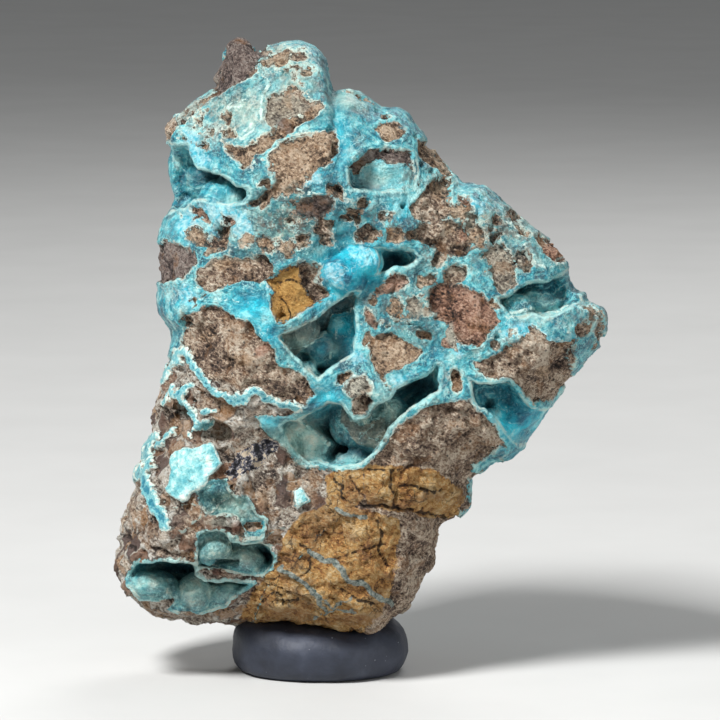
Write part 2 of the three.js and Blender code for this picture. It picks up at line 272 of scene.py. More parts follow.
def face_back(column, row, share, is_front):
    """y of the front or back face, at a share of its full thickness from the edge."""
    front = FRONT_DEPTH + hills(FRONT_RELIEF, column, row)
    front = front + 1.8 * flat_lumps(column, row, 60, 0.5) + 0.9 * flat_lumps(column, row, 26, 1.5)
    back = BACK_DEPTH + hills(BACK_RELIEF, column, row)
    back = back + 3.0 * flat_lumps(column, row, 75, 2.5) + 1.4 * flat_lumps(column, row, 30, 3.5)
    return rim_back(column, row) + share * np.where(is_front, -front, back)


def front_at(column, row):
    """y of the uncut front face behind each pixel."""
    column, row = np.atleast_1d(np.asarray(column, float)), np.atleast_1d(np.asarray(row, float))
    angle = np.arctan2(row - STONE_MIDDLE[1], column - STONE_MIDDLE[0])
    away = np.hypot(row - STONE_MIDDLE[1], column - STONE_MIDDLE[0])
    outwards = np.minimum(away / reach(STONE_OUTLINE, STONE_MIDDLE, angle), 1)
    share = (1 - outwards ** BOXINESS) ** (1 / BOXINESS)
    return face_back(column, row, share, True)


print("outline corners:", len(STONE_OUTLINE), " front at the middle:", front_at(*STONE_MIDDLE).round(1))

# %% [markdown]
# ## One body, moulded from a ball
# A fine icosphere has even triangles and no seam, so it is the block that the stone and every cave
# cutter are moulded from: each vertex goes as far towards the outline, and as deep, as its place on
# the ball says.

# %% Moulding helper


def moulded(name, subdivisions, boxiness, shape):
    """A closed object from an icosphere, as shape places its outward share, depth share and angle."""
    ball = bmesh.new()
    bmesh.ops.create_icosphere(ball, subdivisions=subdivisions, radius=1)
    unit = np.array([vertex.co for vertex in ball.verts])
    outwards = np.hypot(unit[:, 0], unit[:, 2]) ** (2 / boxiness)
    through = np.abs(unit[:, 1]) ** (2 / boxiness)
    points = shape(outwards, through, np.arctan2(-unit[:, 2], unit[:, 0]), unit[:, 1] < 0)
    for vertex, point in zip(ball.verts, points):
        vertex.co = point * MM
    bmesh.ops.recalc_face_normals(ball, faces=ball.faces)
    mesh = bpy.data.meshes.new(name)
    ball.to_mesh(mesh)
    ball.free()
    piece = bpy.data.objects.new(name, mesh)
    bpy.context.scene.collection.objects.link(piece)
    return piece


def stone_shape(outwards, through, angle, is_front):
    far = outwards * reach(STONE_OUTLINE, STONE_MIDDLE, angle)
    column = STONE_MIDDLE[0] + far * np.cos(angle)
    row = STONE_MIDDLE[1] + far * np.sin(angle)
    return place(column, row, face_back(column, row, through, is_front))


stone = moulded("smithsonite_stone", BODY_SUBDIVISIONS, BOXINESS, stone_shape)
print("stone body:", len(stone.data.polygons), "triangles")

# %% [markdown]
# ## Caves
# The crust grew as a shell over open gaps, so the real caves are windows with a thin lip and a round,
# bubbly inside. Cutting them with closed bodies keeps the stone watertight. Each cutter is widest just
# under the face, so that its mouth has the drawn outline, and ends in a bowl.

# %% Cave mouths
CAVES = {  # millimetres deep, pixels that the bowl drifts sideways, middle and outline of the mouth
    "left_upper": dict(depth=12, drift=(8, 0), middle=(202, 184), mouth=[ (150, 145), (176, 143),
        (190, 145), (192.5, 162), (199, 168), (214, 171), (228, 177), (239.5, 185), (249, 187),
        (251, 194), (246, 203), (233, 206), (218, 204.5), (205, 200), (195, 200.5), (187, 209),
        (166, 217), (150, 217)]),
    "hole_by_knob": dict(depth=6, drift=(-8, 4), middle=(394, 259), mouth=[ (374, 247.5), (388, 249),
        (403, 247.5), (414, 251), (419, 257), (415, 263.5), (408, 267.5), (394.5, 267), (391, 272),
        (375, 274.5), (378, 260)]),
    "central_window": dict(depth=11, drift=(2, -2), middle=(327, 340), mouth=[ (277, 337), (298, 327),
        (314, 318), (330, 305), (349, 291), (358, 289), (356, 307), (357, 329), (355, 344), (356, 353),
        (348, 360), (335, 367), (318, 380), (304, 370), (300.5, 363.5), (288, 351)]),
    "lower_window": dict(depth=13, drift=(3, 0), middle=(355, 445), mouth=[ (297, 419), (311, 410),
        (328, 401), (342, 402), (348, 410), (356, 419), (368, 417), (374, 404), (390, 397), (404, 394),
        (412, 409), (401, 419), (391, 429), (386, 438), (378, 449), (368, 459), (362, 465), (338, 468),
        (322, 463), (317, 457), (329.5, 444), (311, 431)]),
    "window_arm": dict(depth=11, drift=(-5, 0), middle=(411, 396), mouth=[ (374, 404), (390, 397),
        (394, 388), (412, 380), (431, 372), (436, 364), (440, 364), (440, 391), (427, 401), (412, 409),
        (401, 419), (386, 428), (378, 415)]),
    "right_cave": dict(depth=8, drift=(-4, 0), middle=(535, 298), mouth=[ (495.5, 297.5), (504, 297.5),
        (510, 294), (519, 286), (527, 282), (536, 281), (546.5, 281), (556.5, 275), (566, 270),
        (580, 270), (580, 302), (569.5, 310), (558, 314), (545, 318), (533, 314), (524, 318), (514, 319),
        (507, 314), (501, 306)]),
    "lower_right": dict(depth=5, drift=(-3, -4), middle=(508, 402), mouth=[ (469, 378.5), (480, 382),
        (493, 381), (509, 380), (520, 393), (529, 404.5), (538, 409), (547, 407), (560, 412), (545, 436),
        (528, 442), (517, 444), (512, 440), (505, 432), (495, 420), (483, 409), (479, 409), (473, 400)]),
    "foot_cave": dict(depth=11, drift=(3, -10), middle=(185, 583), mouth=[ (136, 562), (146, 561),
        (168, 560), (189, 561), (195, 563), (197, 573), (204.5, 579), (219, 581), (243, 580), (255, 582),
        (249, 587), (231, 597), (224, 605), (212, 609), (185, 614), (171, 609), (162, 601), (150, 597),
        (140, 597), (129, 585), (128, 579)]),
    "foot_bowl": dict(depth=3.4, drift=(4, -4), middle=(236, 556), mouth=[ (197, 534), (207, 528),
        (219, 529), (227.5, 533), (231, 540), (243, 542), (261.5, 541), (271, 546), (277, 559),
        (272, 568), (263, 576), (231, 571.5), (198.5, 568), (195, 558)]),
    "green_bowl": dict(depth=2.6, drift=(3, -3), middle=(234, 505), mouth=[ (195, 492), (211, 481),
        (227, 479), (229, 490), (236, 496), (247, 496), (252, 504), (258, 515), (267, 519), (267, 529),
        (260, 537), (248, 537), (241, 528), (235, 517), (225, 515.5), (211, 517), (202, 509)]),
    "arched_scoop": dict(depth=3.2, drift=(0, -9), middle=(382, 173), mouth=[ (346, 168), (352, 160),
        (366, 152), (387, 149), (412, 153.5), (416, 172), (412, 190), (380, 194), (349, 190)]),
    "brown_hollow": dict(depth=3.8, drift=(-4, -6), middle=(213, 433), mouth=[ (196, 432), (205, 422),
        (216, 418), (228, 424), (232, 436), (222, 446), (207, 447), (198, 442)]),
    "brown_dish": dict(depth=4, drift=(0, -4), middle=(181, 410), mouth=[ (171, 411), (176, 403),
        (185, 402), (191, 410), (188, 418), (178, 419)]),
    "pale_pit": dict(depth=1.3, drift=(0, 0), middle=(474, 217), mouth=[ (466, 213), (473, 212),
        (479, 208), (482, 215), (480, 223), (473, 226), (467, 221)]),
    "foot_eye": dict(depth=8, drift=(-3, 0), middle=(266, 555), mouth=[ (255, 546), (263, 543),
        (271, 547), (277, 558), (273, 567), (266, 566), (260, 558)]),
    "pale_bowl": dict(depth=1.2, drift=(5, 2), middle=(303, 442), mouth=[ (279, 424), (286, 419),
        (298, 420), (312, 430), (331, 445), (324, 455), (318, 461), (308, 464), (298, 456), (290, 446)]),
}
print("caves drawn:", len(CAVES))

# %% Cut the caves
UNDER_FACE = 1.2
OUT_OF_FACE = 16.0
CUTTER_SUBDIVISIONS = 5
CUTTER_BOXINESS = 2.4


def cave_cutter(name, depth, drift, middle, mouth):
    """A closed cutter for one cave."""
    widest = front_at(*middle)[0] + UNDER_FACE

    def shape(outwards, through, angle, is_front):
        far = np.where(is_front, np.minimum(outwards ** 0.25, 1), outwards)
        far = far * reach(mouth, middle, angle)
        inwards = np.where(is_front, -OUT_OF_FACE, depth - UNDER_FACE) * through
        slide = np.maximum(inwards, 0) / depth
        column = middle[0] + far * np.cos(angle) + slide * drift[0]
        row = middle[1] + far * np.sin(angle) + slide * drift[1]
        return place(column, row, widest + inwards)

    return moulded("cutter_" + name, CUTTER_SUBDIVISIONS, CUTTER_BOXINESS, shape)


def applied(piece):
    """Replaces a piece's mesh by what its modifiers make of it."""
    graph = bpy.context.evaluated_depsgraph_get()
    mesh = bpy.data.meshes.new_from_object(piece.evaluated_get(graph))
    piece.modifiers.clear()
    old = piece.data
    piece.data = mesh
    bpy.data.meshes.remove(old)


cutters = [cave_cutter(name, **cave) for name, cave in CAVES.items()]
for cutter in cutters:
    cut = stone.modifiers.new(cutter.name, "BOOLEAN")
    cut.operation = "DIFFERENCE"
    cut.solver = "MANIFOLD"
    cut.object = cutter
applied(stone)
for cutter in cutters:
    bpy.data.objects.remove(cutter)
print("caves cut:", len(CAVES), " triangles now:", len(stone.data.polygons))

# %% [markdown]
# ## Bubbles, then one even skin
# Smithsonite grows in round bubbles. The large ones that stand in the caves are balls set into the
# body. A voxel remesh then joins body and balls to one closed skin of even quads, fine enough to
# sculpt on, which a union of parts would not give.

# %% Bubbles
BUBBLES = [  # column, row, distance behind the face, radii across, through and up, in millimetres
    (225, 202, 7.0, 5.4, 5.0, 4.8), (359, 261, 1.0, 4.6, 5.2, 3.6), (343, 274, 1.4, 4.8, 5.2, 4.0),
    (352, 420, 8.6, 4.4, 5.0, 5.4), (374, 428, 8.0, 5.0, 5.0, 4.8), (391, 414, 7.5, 3.2, 4.6, 3.8),
    (322, 350, 7.8, 3.6, 3.6, 3.2), (346, 336, 8.5, 3.4, 3.4, 6.4), (308, 371, 5.0, 2.0, 2.2, 1.9),
    (352, 460, 5.4, 3.4, 2.4, 1.8), (297, 340, 7.5, 3.6, 3.0, 2.6), (337, 357, 7.6, 2.6, 2.6, 2.2),
    (517, 308, 5.0, 3.2, 2.6, 2.6), (150, 585, 4.4, 5.6, 4.2, 2.8), (168, 594, 5.0, 4.0, 4.0, 2.6),
    (195, 592, 4.2, 3.2, 4.2, 3.6), (226, 592, 4.0, 5.2, 3.8, 2.4), (185, 606, 2.8, 6.0, 3.2, 1.8),
    (212, 546, 3.2, 3.8, 3.4, 3.6), (243, 560, 3.6, 4.4, 3.6, 3.0), (226, 572, 1.6, 3.6, 2.2, 1.4),
    (300, 328, 8.5, 3.6, 3.0, 2.6), (205, 180, 12.5, 4.0, 4.0, 4.4), (541, 300, 6.4, 4.0, 2.4, 2.4),
    (247, 508, 2.6, 2.0, 1.8, 3.0), (359, 387, 0.9, 2.7, 2.6, 2.1), (214, 488, 1.6, 3.4, 1.6, 1.6),
]
BUBBLE_SUBDIVISIONS = 4

body = bmesh.new()
body.from_mesh(stone.data)
for column, row, sunk, across, through, up in BUBBLES:
    middle = place(column, row, front_at(column, row)[0] + sunk)
    made = bmesh.ops.create_icosphere(body, subdivisions=BUBBLE_SUBDIVISIONS, radius=1)["verts"]
    bmesh.ops.scale(body, verts=made, vec=(across * MM, through * MM, up * MM))
    bmesh.ops.translate(body, verts=made, vec=middle * MM)
body.to_mesh(stone.data)
body.free()
print("bubbles set:", len(BUBBLES))

# %% One skin
SKIN_MM = 0.5

skin = stone.modifiers.new("skin", "REMESH")
skin.mode = "VOXEL"
skin.voxel_size = SKIN_MM * MM
applied(stone)
print("skin:", len(stone.data.vertices), "vertices,", len(stone.data.polygons), "quads")

# %% [markdown]
# ## Fine where it shows its story, coarser behind
# The front and its caves hold the detail that the eye reads, so they keep the whole skin. A Decimate
# modifier takes triangles away first where a vertex group marks the plain back and sides.

# %% Thin the skin
MOST_TRIANGLES = 196000
PLAIN_FIRST = 5  # how strongly the plain parts are thinned before the rest


def vertex_arrays(mesh):
    """Vertex places in millimetres, and unit normals."""
    places = np.empty(len(mesh.vertices) * 3)
    mesh.vertices.foreach_get("co", places)
    normals = np.empty(len(mesh.vertices) * 3)
    mesh.vertices.foreach_get("normal", normals)
    return places.reshape(-1, 3) / MM, normals.reshape(-1, 3)


place_mm, normal = vertex_arrays(stone.data)
column, row = seen(place_mm)
plain = ease(0.05, -0.3, normal @ TO_CAMERA) * ease(2, 5, place_mm[:, 1] - front_at(column, row))
group = stone.vertex_groups.new(name="plain")
for level in np.unique(np.round(plain, 1)):
    group.add(np.flatnonzero(np.round(plain, 1) == level).tolist(), float(level), "REPLACE")
thin = stone.modifiers.new("thin", "DECIMATE")
thin.ratio = MOST_TRIANGLES / (2 * len(stone.data.polygons))
thin.vertex_group = group.name
thin.vertex_group_factor = PLAIN_FIRST
applied(stone)
stone.vertex_groups.clear()
print("thinned to:", len(stone.data.vertices), "vertices,", len(stone.data.polygons), "faces")

# %% [markdown]
# ## Where rock, crust and veins lie
# The brown fragments are drawn as outlines and ovals in the photograph's frame. For every vertex of
# the front the script works out how far it lies inside the nearest fragment, in millimetres. A smooth
# distance keeps a boundary sharp even between vertices, which a painted mask would blur. The sides
# and the back, which the photograph hides, get a natural breccia of the same sizes from cells.

# %% Fragments of the front
FRAGMENTS = {
    "top_nub": ("dusk", [(212, 98), (216, 76), (222, 58), (222, 40), (236, 33), (250, 35), (260, 46),
        (264, 57), (256, 66), (258, 71), (246, 80), (232, 87), (222, 96)]),
    "notch_fleck": ("umber", [(258, 44), (270, 44), (266, 53), (259, 58)]),
    "left_tip": ("umber", [(158, 128), (172, 116), (178, 122), (175, 132), (168, 146), (158, 142)]),
    "long_lens": ("tan", [(226, 142), (246, 149), (260, 139), (274, 131), (285, 121), (298, 115),
        (311, 108), (320, 103), (321, 110), (308, 122), (293, 130), (279, 140), (265, 152), (253, 157),
        (248, 167), (241, 164), (230, 154)]),
    "grey_lens": ("grey", [(267, 101), (276, 94), (299, 99), (310, 105), (285, 121), (272, 129),
        (265, 122)]),
    "upper_clast": ("tan", [(269, 156), (285, 142), (304, 135), (324, 133), (334, 130), (337, 150),
        (331, 162), (314, 173), (304, 187), (288, 188), (273, 202), (261, 213), (258, 208), (264, 190),
        (279, 181), (273, 168)]),
    "left_edge": ("dusk", [(156, 246), (170, 240), (184, 248), (196, 250), (198, 262), (190, 270),
        (184, 280), (156, 282)]),
    "long_bar": ("umber", [(199, 268), (219, 260), (237, 256), (265, 257), (274, 265), (274, 272),
        (259, 283), (242, 281), (225, 288), (211, 292), (200, 288), (198, 278)]),
    "ochre_block": ("ochre", [(266, 280), (280, 271), (296, 263), (301, 268), (303, 284), (310, 295),
        (317, 303), (300, 313), (284, 323), (277, 322), (271, 309), (271, 291)]),
    "ochre_shade": ("umber", [(297, 262), (311, 261), (321, 267), (321, 277), (319, 284), (332, 292),
        (318, 303), (310, 295), (303, 284), (301, 268)]),
    "big_left": ("umber", [(188, 314), (206, 306), (221, 309), (237, 317), (253, 323), (257, 335),
        (265, 345), (273, 350), (278, 366), (292, 367), (302, 374), (310, 385), (314, 393), (306, 405),
        (287, 403), (272, 398), (257, 390), (244, 392), (226, 390), (216, 383), (206, 380), (180, 352),
        (184, 345), (190, 323)]),
    "red_clast": ("red", [(429, 291), (439, 280), (463, 284), (480, 293), (490, 305), (501, 321),
        (492, 331), (480, 346), (463, 344), (447, 325), (431, 313)]),
    "crescent": ("red", [(369, 295), (382, 282), (393, 273), (407, 277), (411, 285), (399, 292)]),
    "triangle": ("tan", [(368, 336), (393, 334), (424, 350), (416, 363), (399, 370), (385, 374),
        (385, 386), (391, 392), (380, 376), (371, 360)]),
    "upper_right": ("tan", [(373, 130), (380, 124), (397, 124), (405, 131), (402, 140), (386, 143)]),
    # rock along the scoop's upper rim, its dusky tint painted shade under the overhang
    "scoop_roof_shade": ("dusk", [(346, 166), (366, 152), (387, 149), (412, 153), (414, 172), (404, 164),
        (384, 160), (366, 164), (354, 174)]),
    "scoop_floor": ("tan", [(347, 172), (356, 170), (362, 186), (352, 192)]),
    "shaded_scoop": ("umber", [(410, 206), (419, 196), (429, 186), (441, 186), (447, 196), (451, 210),
        (446, 222), (426, 223), (413, 216)]),
    "right_mass": ("umber", [(414, 226), (430, 222), (450, 222), (462, 228), (471, 240), (466, 254),
        (452, 256), (440, 250), (428, 246), (418, 240)]),
    "edge_strip": ("tan", [(415, 140), (428, 146), (443, 163), (452, 176), (446, 180), (430, 168),
        (418, 152)]),
    "grey_ball": ("grey", [(484, 256), (492, 246), (504, 248), (512, 262), (516, 282), (506, 297),
        (498, 292), (492, 276)]),
    "right_big": ("umber", [(473, 362), (500, 351), (513, 342), (528, 325), (542, 333), (555, 341),
        (566, 342), (565, 359), (569, 362), (572, 378), (550, 399), (534, 403), (525, 393), (513, 379),
        (500, 379), (486, 378), (478, 368)]),
    "edge_reds": ("red", [(540, 244), (552, 242), (566, 254), (568, 264), (556, 262), (546, 256)]),
    "matrix": ("chalk", [(146, 396), (158, 372), (178, 350), (206, 378), (244, 390), (290, 405),
        (298, 408), (290, 414), (253, 415), (262, 430), (277, 441), (293, 458), (306, 467), (330, 470),
        (345, 472), (334, 520), (300, 560), (262, 590), (250, 632), (190, 634), (126, 604), (106, 565),
        (112, 520), (128, 470), (140, 430)]),
    "low_brown": ("umber", [(345, 470), (362, 467), (380, 450), (400, 425), (424, 408), (441, 402),
        (470, 400), (480, 412), (496, 427), (506, 443), (500, 462), (478, 478), (472, 484), (474, 508),
        (460, 522), (442, 526), (444, 560), (428, 592), (412, 620), (380, 648), (330, 648), (250, 636),
        (262, 590), (300, 560), (334, 520)]),
}
print("fragments:", len(FRAGMENTS))

# %% Small fragments of the front
OVALS = [  # kind, column, row, half width, half height, tilt in degrees
    ("umber", 189, 114, 9, 4, 30), ("umber", 299, 57, 10, 6, 0), ("tan", 306, 72, 7, 4, 0),
    ("umber", 293, 92, 7, 7, 0), ("tan", 210, 134, 5, 4, 0), ("tan", 206, 146, 6, 3, -20),
    ("dusk", 314, 207, 19, 11.5, 15), ("red", 202, 215, 12, 4.5, -40), ("red", 230, 219, 9, 3.5, -40),
    ("tan", 197, 236, 10, 8, 0), ("umber", 219, 245, 11, 8, 0), ("tan", 211, 252, 6, 4, -10),
    ("tan", 246, 241, 9, 6, 5), ("tan", 267, 245, 11, 6, -30), ("tan", 303, 243, 8, 7, 0),
    ("umber", 326, 240, 7, 4, -15), ("tan", 395, 307, 8, 8, 20), ("grey", 415, 308, 9, 10, 0),
    ("red", 370, 319, 5.5, 10, 25), ("umber", 366, 338, 4, 7, 0), ("pearl", 359, 387, 13, 10, 0),
    ("umber", 361, 405, 10, 10, 0), ("tan", 344, 377, 9, 5, 35), ("umber", 367, 234, 12, 7, 0),
    ("tan", 394, 233, 10, 9, 40), ("tan", 413, 234, 9, 6, 0), ("umber", 524, 261, 10, 10, 0),
    ("umber", 582, 331, 7, 7, 0), ("umber", 592, 314, 4, 3, 0), ("umber", 598, 334, 4, 12, 20),
    ("tan", 455, 382, 7, 12, 10), ("red", 462, 231, 4, 9, -10), ("red", 448, 342, 6, 6, 0),
    ("umber", 437, 262, 7, 5, 0), ("tan", 410, 262, 5, 4, 0), ("umber", 428, 280, 9, 6, 20),
    ("tan", 512, 218, 7, 4, -40), ("umber", 541, 243, 7, 4, -30), ("red", 463, 200, 7, 4, 0),
    ("tan", 372, 300, 4, 4, 0), ("umber", 566, 352, 6, 12, 30), ("umber", 496, 345, 6, 5, 0),
    ("umber", 385, 118, 5, 3, 0), ("tan", 362, 203, 8, 4, 0), ("tan", 365, 176, 6, 4, 0),
    ("pearl", 452, 336, 5, 15, 12), ("pearl", 472, 218, 5, 6, 0), ("pearl", 424, 310, 6, 5, 0),
    ("tan", 440, 190, 8, 12, 20), ("tan", 277, 60, 13, 7, 20), ("umber", 200, 106, 12, 3, 32),
    ("umber", 183, 122, 9, 4, 30), ("tan", 232, 134, 7, 4, 0), ("umber", 228, 120, 4, 7, 20),
    ("umber", 302, 105, 14, 8, -25), ("dusk", 285, 126, 12, 5, -35), ("tan", 264, 183, 6, 5, 0),
    ("umber", 473, 232, 6, 9, 0), ("umber", 456, 274, 12, 8, 10), ("umber", 442, 255, 7, 6, 0),
    ("umber", 496, 220, 8, 5, -30), ("grey", 524, 262, 10, 9, 0), ("tan", 424, 335, 8, 5, -20),
    ("pearl", 219, 524, 14, 4, -12), ("red", 236, 528, 6, 6, 30), ("tan", 253, 527, 8, 4, 0),
    ("tan", 495, 305, 8, 5, -30), ("red", 218, 575, 9, 3, 0), ("umber", 155, 607, 18, 4, 20),
    ("umber", 200, 616, 20, 3, 0), ("tan", 205, 335, 10, 7, 20), ("tan", 238, 361, 16, 7, 15),
    ("tan", 300, 148, 14, 5, -20), ("red", 262, 350, 9, 6, 30), ("tan", 244, 452, 9, 6, 0),
    ("tan", 262, 500, 8, 10, 20), ("tan", 404, 182, 6, 4, 0), ("umber", 255, 205, 5, 4, 0),
    ("tan", 545, 374, 10, 6, 20),
]
KINDS = ("tan", "red", "dusk", "grey", "ochre", "chalk", "pearl")
print("small fragments:", len(OVALS))

# %% Crust in the rock
CRUST_INSETS = {  # lines: half width in pixels, then the points that the middle of the vein passes
    "wavy_vein": (3.8, [(179, 360), (179, 353), (186, 352), (192, 363), (201, 375), (209, 387),
        (218, 394), (228, 397), (236, 403), (243, 401), (246, 395), (253, 390), (258, 391), (264, 398),
        (276, 401), (298, 407)]),
    "vein_bump": (3.0, [(236, 401), (237, 393)]),
    "edge_vein": (2.6, [(176, 363), (170, 372), (165, 384)]),
    "left_vein": (4.0, [(156, 436), (150, 444), (148, 456), (151, 466), (142, 470), (139, 479)]),
    "left_vein_foot": (5.6, [(146, 478), (147, 490), (153, 501), (160, 514), (165, 526)]),
    "leaf": (4.0, [(177, 397), (190, 386)]),
    "strip": (3.4, [(180, 399), (190, 408), (196, 419)]),
    "white_bit": (2.4, [(202, 413), (216, 412)]),
    "blob": (4.4, [(200, 425), (209, 423)]),
    "leaf_top": (2.2, [(166, 404), (172, 396), (176, 386)]),
    "tail": (1.8, [(199, 427), (190, 436)]),
    "sliver": (1.8, [(157, 447), (166, 440), (173, 430)]),
    "window_rim": (3.2, [(440, 364), (440, 392), (412, 409), (397, 424), (386, 440)]),
    "lower_edge": (3.0, [(470, 482), (470, 506), (462, 516)]),
    "neck_edge": (5.0, [(476, 466), (488, 462), (500, 450)]),
    "neck": (5.0, [(444, 366), (446, 390)]),
    "bowl_join": (3.0, [(262, 536), (240, 540), (230, 538)]),
}
# these are bands of ordinary crust, and the others are veins with white borders
PLAIN_INSETS = ("window_rim", "lower_edge", "neck_edge", "neck", "bowl_join")
FROST_PATCHES = [  # white frosted crust: closed outlines
    [(346, 250), (362, 246), (375, 251), (377, 262), (362, 267), (350, 258)],
    [(325, 264), (340, 261), (347, 274), (344, 288), (330, 288), (324, 277)],
    [(176, 226), (188, 209), (210, 202), (236, 205), (252, 215), (256, 236), (240, 240), (232, 222),
        (206, 221), (192, 232), (184, 240)], [(178, 288), (190, 284), (200, 298), (188, 308)],
    [(262, 276), (272, 272), (274, 296), (266, 292)], [(350, 345), (364, 348), (370, 362), (352, 366)],
    [(352, 382), (368, 378), (374, 392), (358, 396)], [(388, 376), (410, 372), (402, 388), (392, 398)],
    [(450, 336), (462, 340), (464, 362), (454, 356)],
    [(498, 334), (520, 322), (560, 336), (590, 330), (560, 344), (520, 338)],
    [(180, 130), (200, 134), (214, 160), (206, 170), (190, 160)],
    [(300, 160), (320, 166), (322, 184), (306, 186)], [(470, 198), (486, 200), (478, 222), (470, 214)],
]
print("veins:", len(CRUST_INSETS), " frost patches:", len(FROST_PATCHES))

# %% Plates, chalk veins, metal, limonite and grey walls
PLATES = {
    "turquoise_plate": [(171, 459), (175, 451), (190, 448), (197, 449), (213, 444), (217, 455),
        (221, 463), (217, 469), (209, 478), (208, 483), (195, 491), (189, 500), (182, 503), (174, 497),
        (167, 490), (168, 481), (171, 469)],
    "pale_triangle": [(293, 492), (301, 488), (309, 500), (297, 508)],
}
PALE_VEINS = [  # half width in pixels, then the vein's line
    (2.4, [(281, 568), (298, 578), (309, 589), (318, 597), (321, 607), (326, 611)]),
    (2.8, [(310, 552), (321, 561), (333, 561), (342, 569), (349, 582), (362, 585), (378, 596),
        (393, 607)]), (1.7, [(337, 509), (347, 515), (367, 519)]),
    (1.0, [(314, 619), (339, 610), (355, 612)]), (1.0, [(318, 597), (334, 608), (351, 599)]),
    (1.0, [(206, 517), (216, 508), (226, 497)]), (1.0, [(262, 540), (276, 530), (290, 526)]),
]
METAL_PATCH = [
    (224, 470), (232, 458), (246, 450), (260, 441), (274, 437), (280, 442), (279, 452), (268, 460),
    (262, 468), (250, 470), (238, 478), (228, 480),
]
LIMONITE = {
    "block": [(324, 473), (363, 466), (365, 500), (350, 512), (326, 506)],
    "smooth_block": [(363, 464), (394, 465), (438, 470), (449, 480), (464, 488), (464, 502), (458, 513),
        (445, 521), (394, 512), (366, 505)],
    "field": [(300, 512), (330, 502), (370, 512), (400, 520), (398, 560), (390, 600), (360, 640),
        (300, 632), (240, 620), (252, 590), (272, 566), (282, 540)],
}
DUN_WALLS = {  # grey brown rock that shows inside the caves
    "window_wall": [(284, 330), (300, 322), (322, 312), (343, 300), (352, 290), (359, 298), (358, 310),
        (346, 311), (333, 318), (331, 327), (322, 333), (314, 341), (304, 346), (296, 358), (282, 345)],
    "lower_wall": [(344, 404), (352, 420), (362, 424), (376, 418), (392, 408), (398, 420), (386, 440),
        (376, 450), (362, 444), (350, 434), (340, 420)],
}
print("plates:", len(PLATES), " chalk veins:", len(PALE_VEINS), " limonite parts:", len(LIMONITE))

# %% Thin lines, cracks and pits
ICE_LINES = [  # half width in pixels, then thin raised lines of pale crust
    (0.5, [(333, 318), (340, 313), (348, 311), (357, 309)]),
    (0.7, [(303, 345), (312, 343), (320, 337), (330, 332)]), (0.5, [(337, 330), (336, 341)]),
    (0.5, [(332, 349), (331, 358)]), (0.5, [(384, 403), (392, 410), (397, 420)]),
    (0.6, [(505, 222), (520, 238), (522, 248), (528, 254), (535, 262), (545, 268), (556, 264),
        (560, 255)]),
    (0.5, [(508, 226), (514, 222), (521, 228), (524, 236), (516, 240), (509, 234), (508, 226)]),
    (0.7, [(258, 72), (268, 84), (264, 95), (260, 108), (262, 120), (254, 132), (244, 140)]),
    (0.5, [(252, 124), (246, 134), (240, 141)]),
    (0.5, [(226, 106), (236, 103), (248, 101), (240, 108), (230, 108), (226, 106)]),
    (0.6, [(168, 118), (184, 116), (196, 106), (203, 104)]),
    (0.5, [(200, 300), (213, 297), (222, 303), (228, 298), (240, 300)]),
    (0.7, [(505, 318), (520, 312), (530, 308), (545, 313), (560, 312), (568, 306)]),
    (0.5, [(480, 344), (492, 338), (502, 330), (508, 320), (516, 318)]),
    (0.5, [(383, 320), (395, 318), (408, 322), (420, 330)]), (0.5, [(468, 196), (474, 208), (468, 214)]),
    (0.5, [(296, 196), (312, 193), (330, 197), (338, 202)]),
    (0.5, [(322, 262), (320, 272), (318, 282), (326, 288), (334, 292)]),
    (0.5, [(345, 395), (344, 384), (352, 376), (364, 375), (372, 382), (374, 394)]),
    (0.5, [(566, 330), (575, 336), (572, 346), (568, 356)]),
    (0.6, [(293, 458), (300, 464), (308, 467), (318, 468)]),
    (0.5, [(165, 528), (185, 532), (200, 518), (204, 508)]), (0.5, [(170, 508), (190, 503), (202, 506)]),
]
CRACKS = [  # half width in pixels, then dark cracks in the limonite and the matrix
    (1.3, [(362, 508), (380, 505), (394, 508), (408, 513), (430, 514), (446, 519)]),
    (1.0, [(400, 488), (414, 485), (428, 490), (442, 489)]),
    (1.0, [(366, 470), (380, 468), (396, 470), (412, 467)]),
    (1.2, [(393, 472), (391, 486), (396, 498), (394, 508)]),
    (0.9, [(332, 478), (342, 486), (340, 498), (352, 504)]), (0.9, [(350, 478), (356, 490), (366, 500)]),
    (0.9, [(330, 560), (344, 556), (360, 548), (384, 545)]),
    (0.9, [(300, 545), (312, 552), (310, 570), (296, 580)]),
    (0.8, [(340, 590), (356, 600), (380, 604), (400, 600)]),
    (1.0, [(375, 520), (384, 535), (380, 552), (392, 566)]),
    (0.9, [(262, 600), (276, 592), (284, 602), (298, 600)]), (1.4, [(148, 547), (158, 550), (166, 556)]),
    (1.2, [(119, 532), (128, 540), (134, 548)]), (0.8, [(271, 283), (288, 280), (302, 284)]),
    (0.8, [(276, 300), (286, 306), (290, 318)]),
]
PITS = [  # column, row, radius in pixels, depth in millimetres
    (193, 402, 3.5, 2.2), (361, 202, 4, 1.8), (402, 207, 3.5, 2.2), (420, 165, 3, 1.6),
    (430, 172, 2.5, 1.2), (414, 138, 3, 1.2), (286, 74, 4, 1.4), (265, 94, 3, 1.4), (329, 131, 4, 1.2),
    (491, 403, 5, 2.0), (281, 319, 4, 1.6), (266, 262, 5, 1.4), (497, 337, 4, 1.2), (494, 285, 2.5, 1.2),
    (167, 478, 3.5, 1.4), (231, 487, 2.5, 1.2),
]
PIT_LINES = [  # half width in pixels, depth in millimetres, line
    (2.2, 1.6, [(396, 322), (408, 324), (420, 327)]), (2.6, 1.2, [(447, 412), (458, 411), (469, 416)]),
    (3.0, 2.4, [(211, 562), (237, 561)]), (1.4, 0.9, [(273, 281), (280, 316)]),
    (1.2, 0.8, [(318, 520), (330, 540), (322, 560)]), (1.4, 1.0, [(394, 470), (398, 508)]),
]
print("thin lines:", len(ICE_LINES), " cracks:", len(CRACKS), " pits:", len(PITS) + len(PIT_LINES))

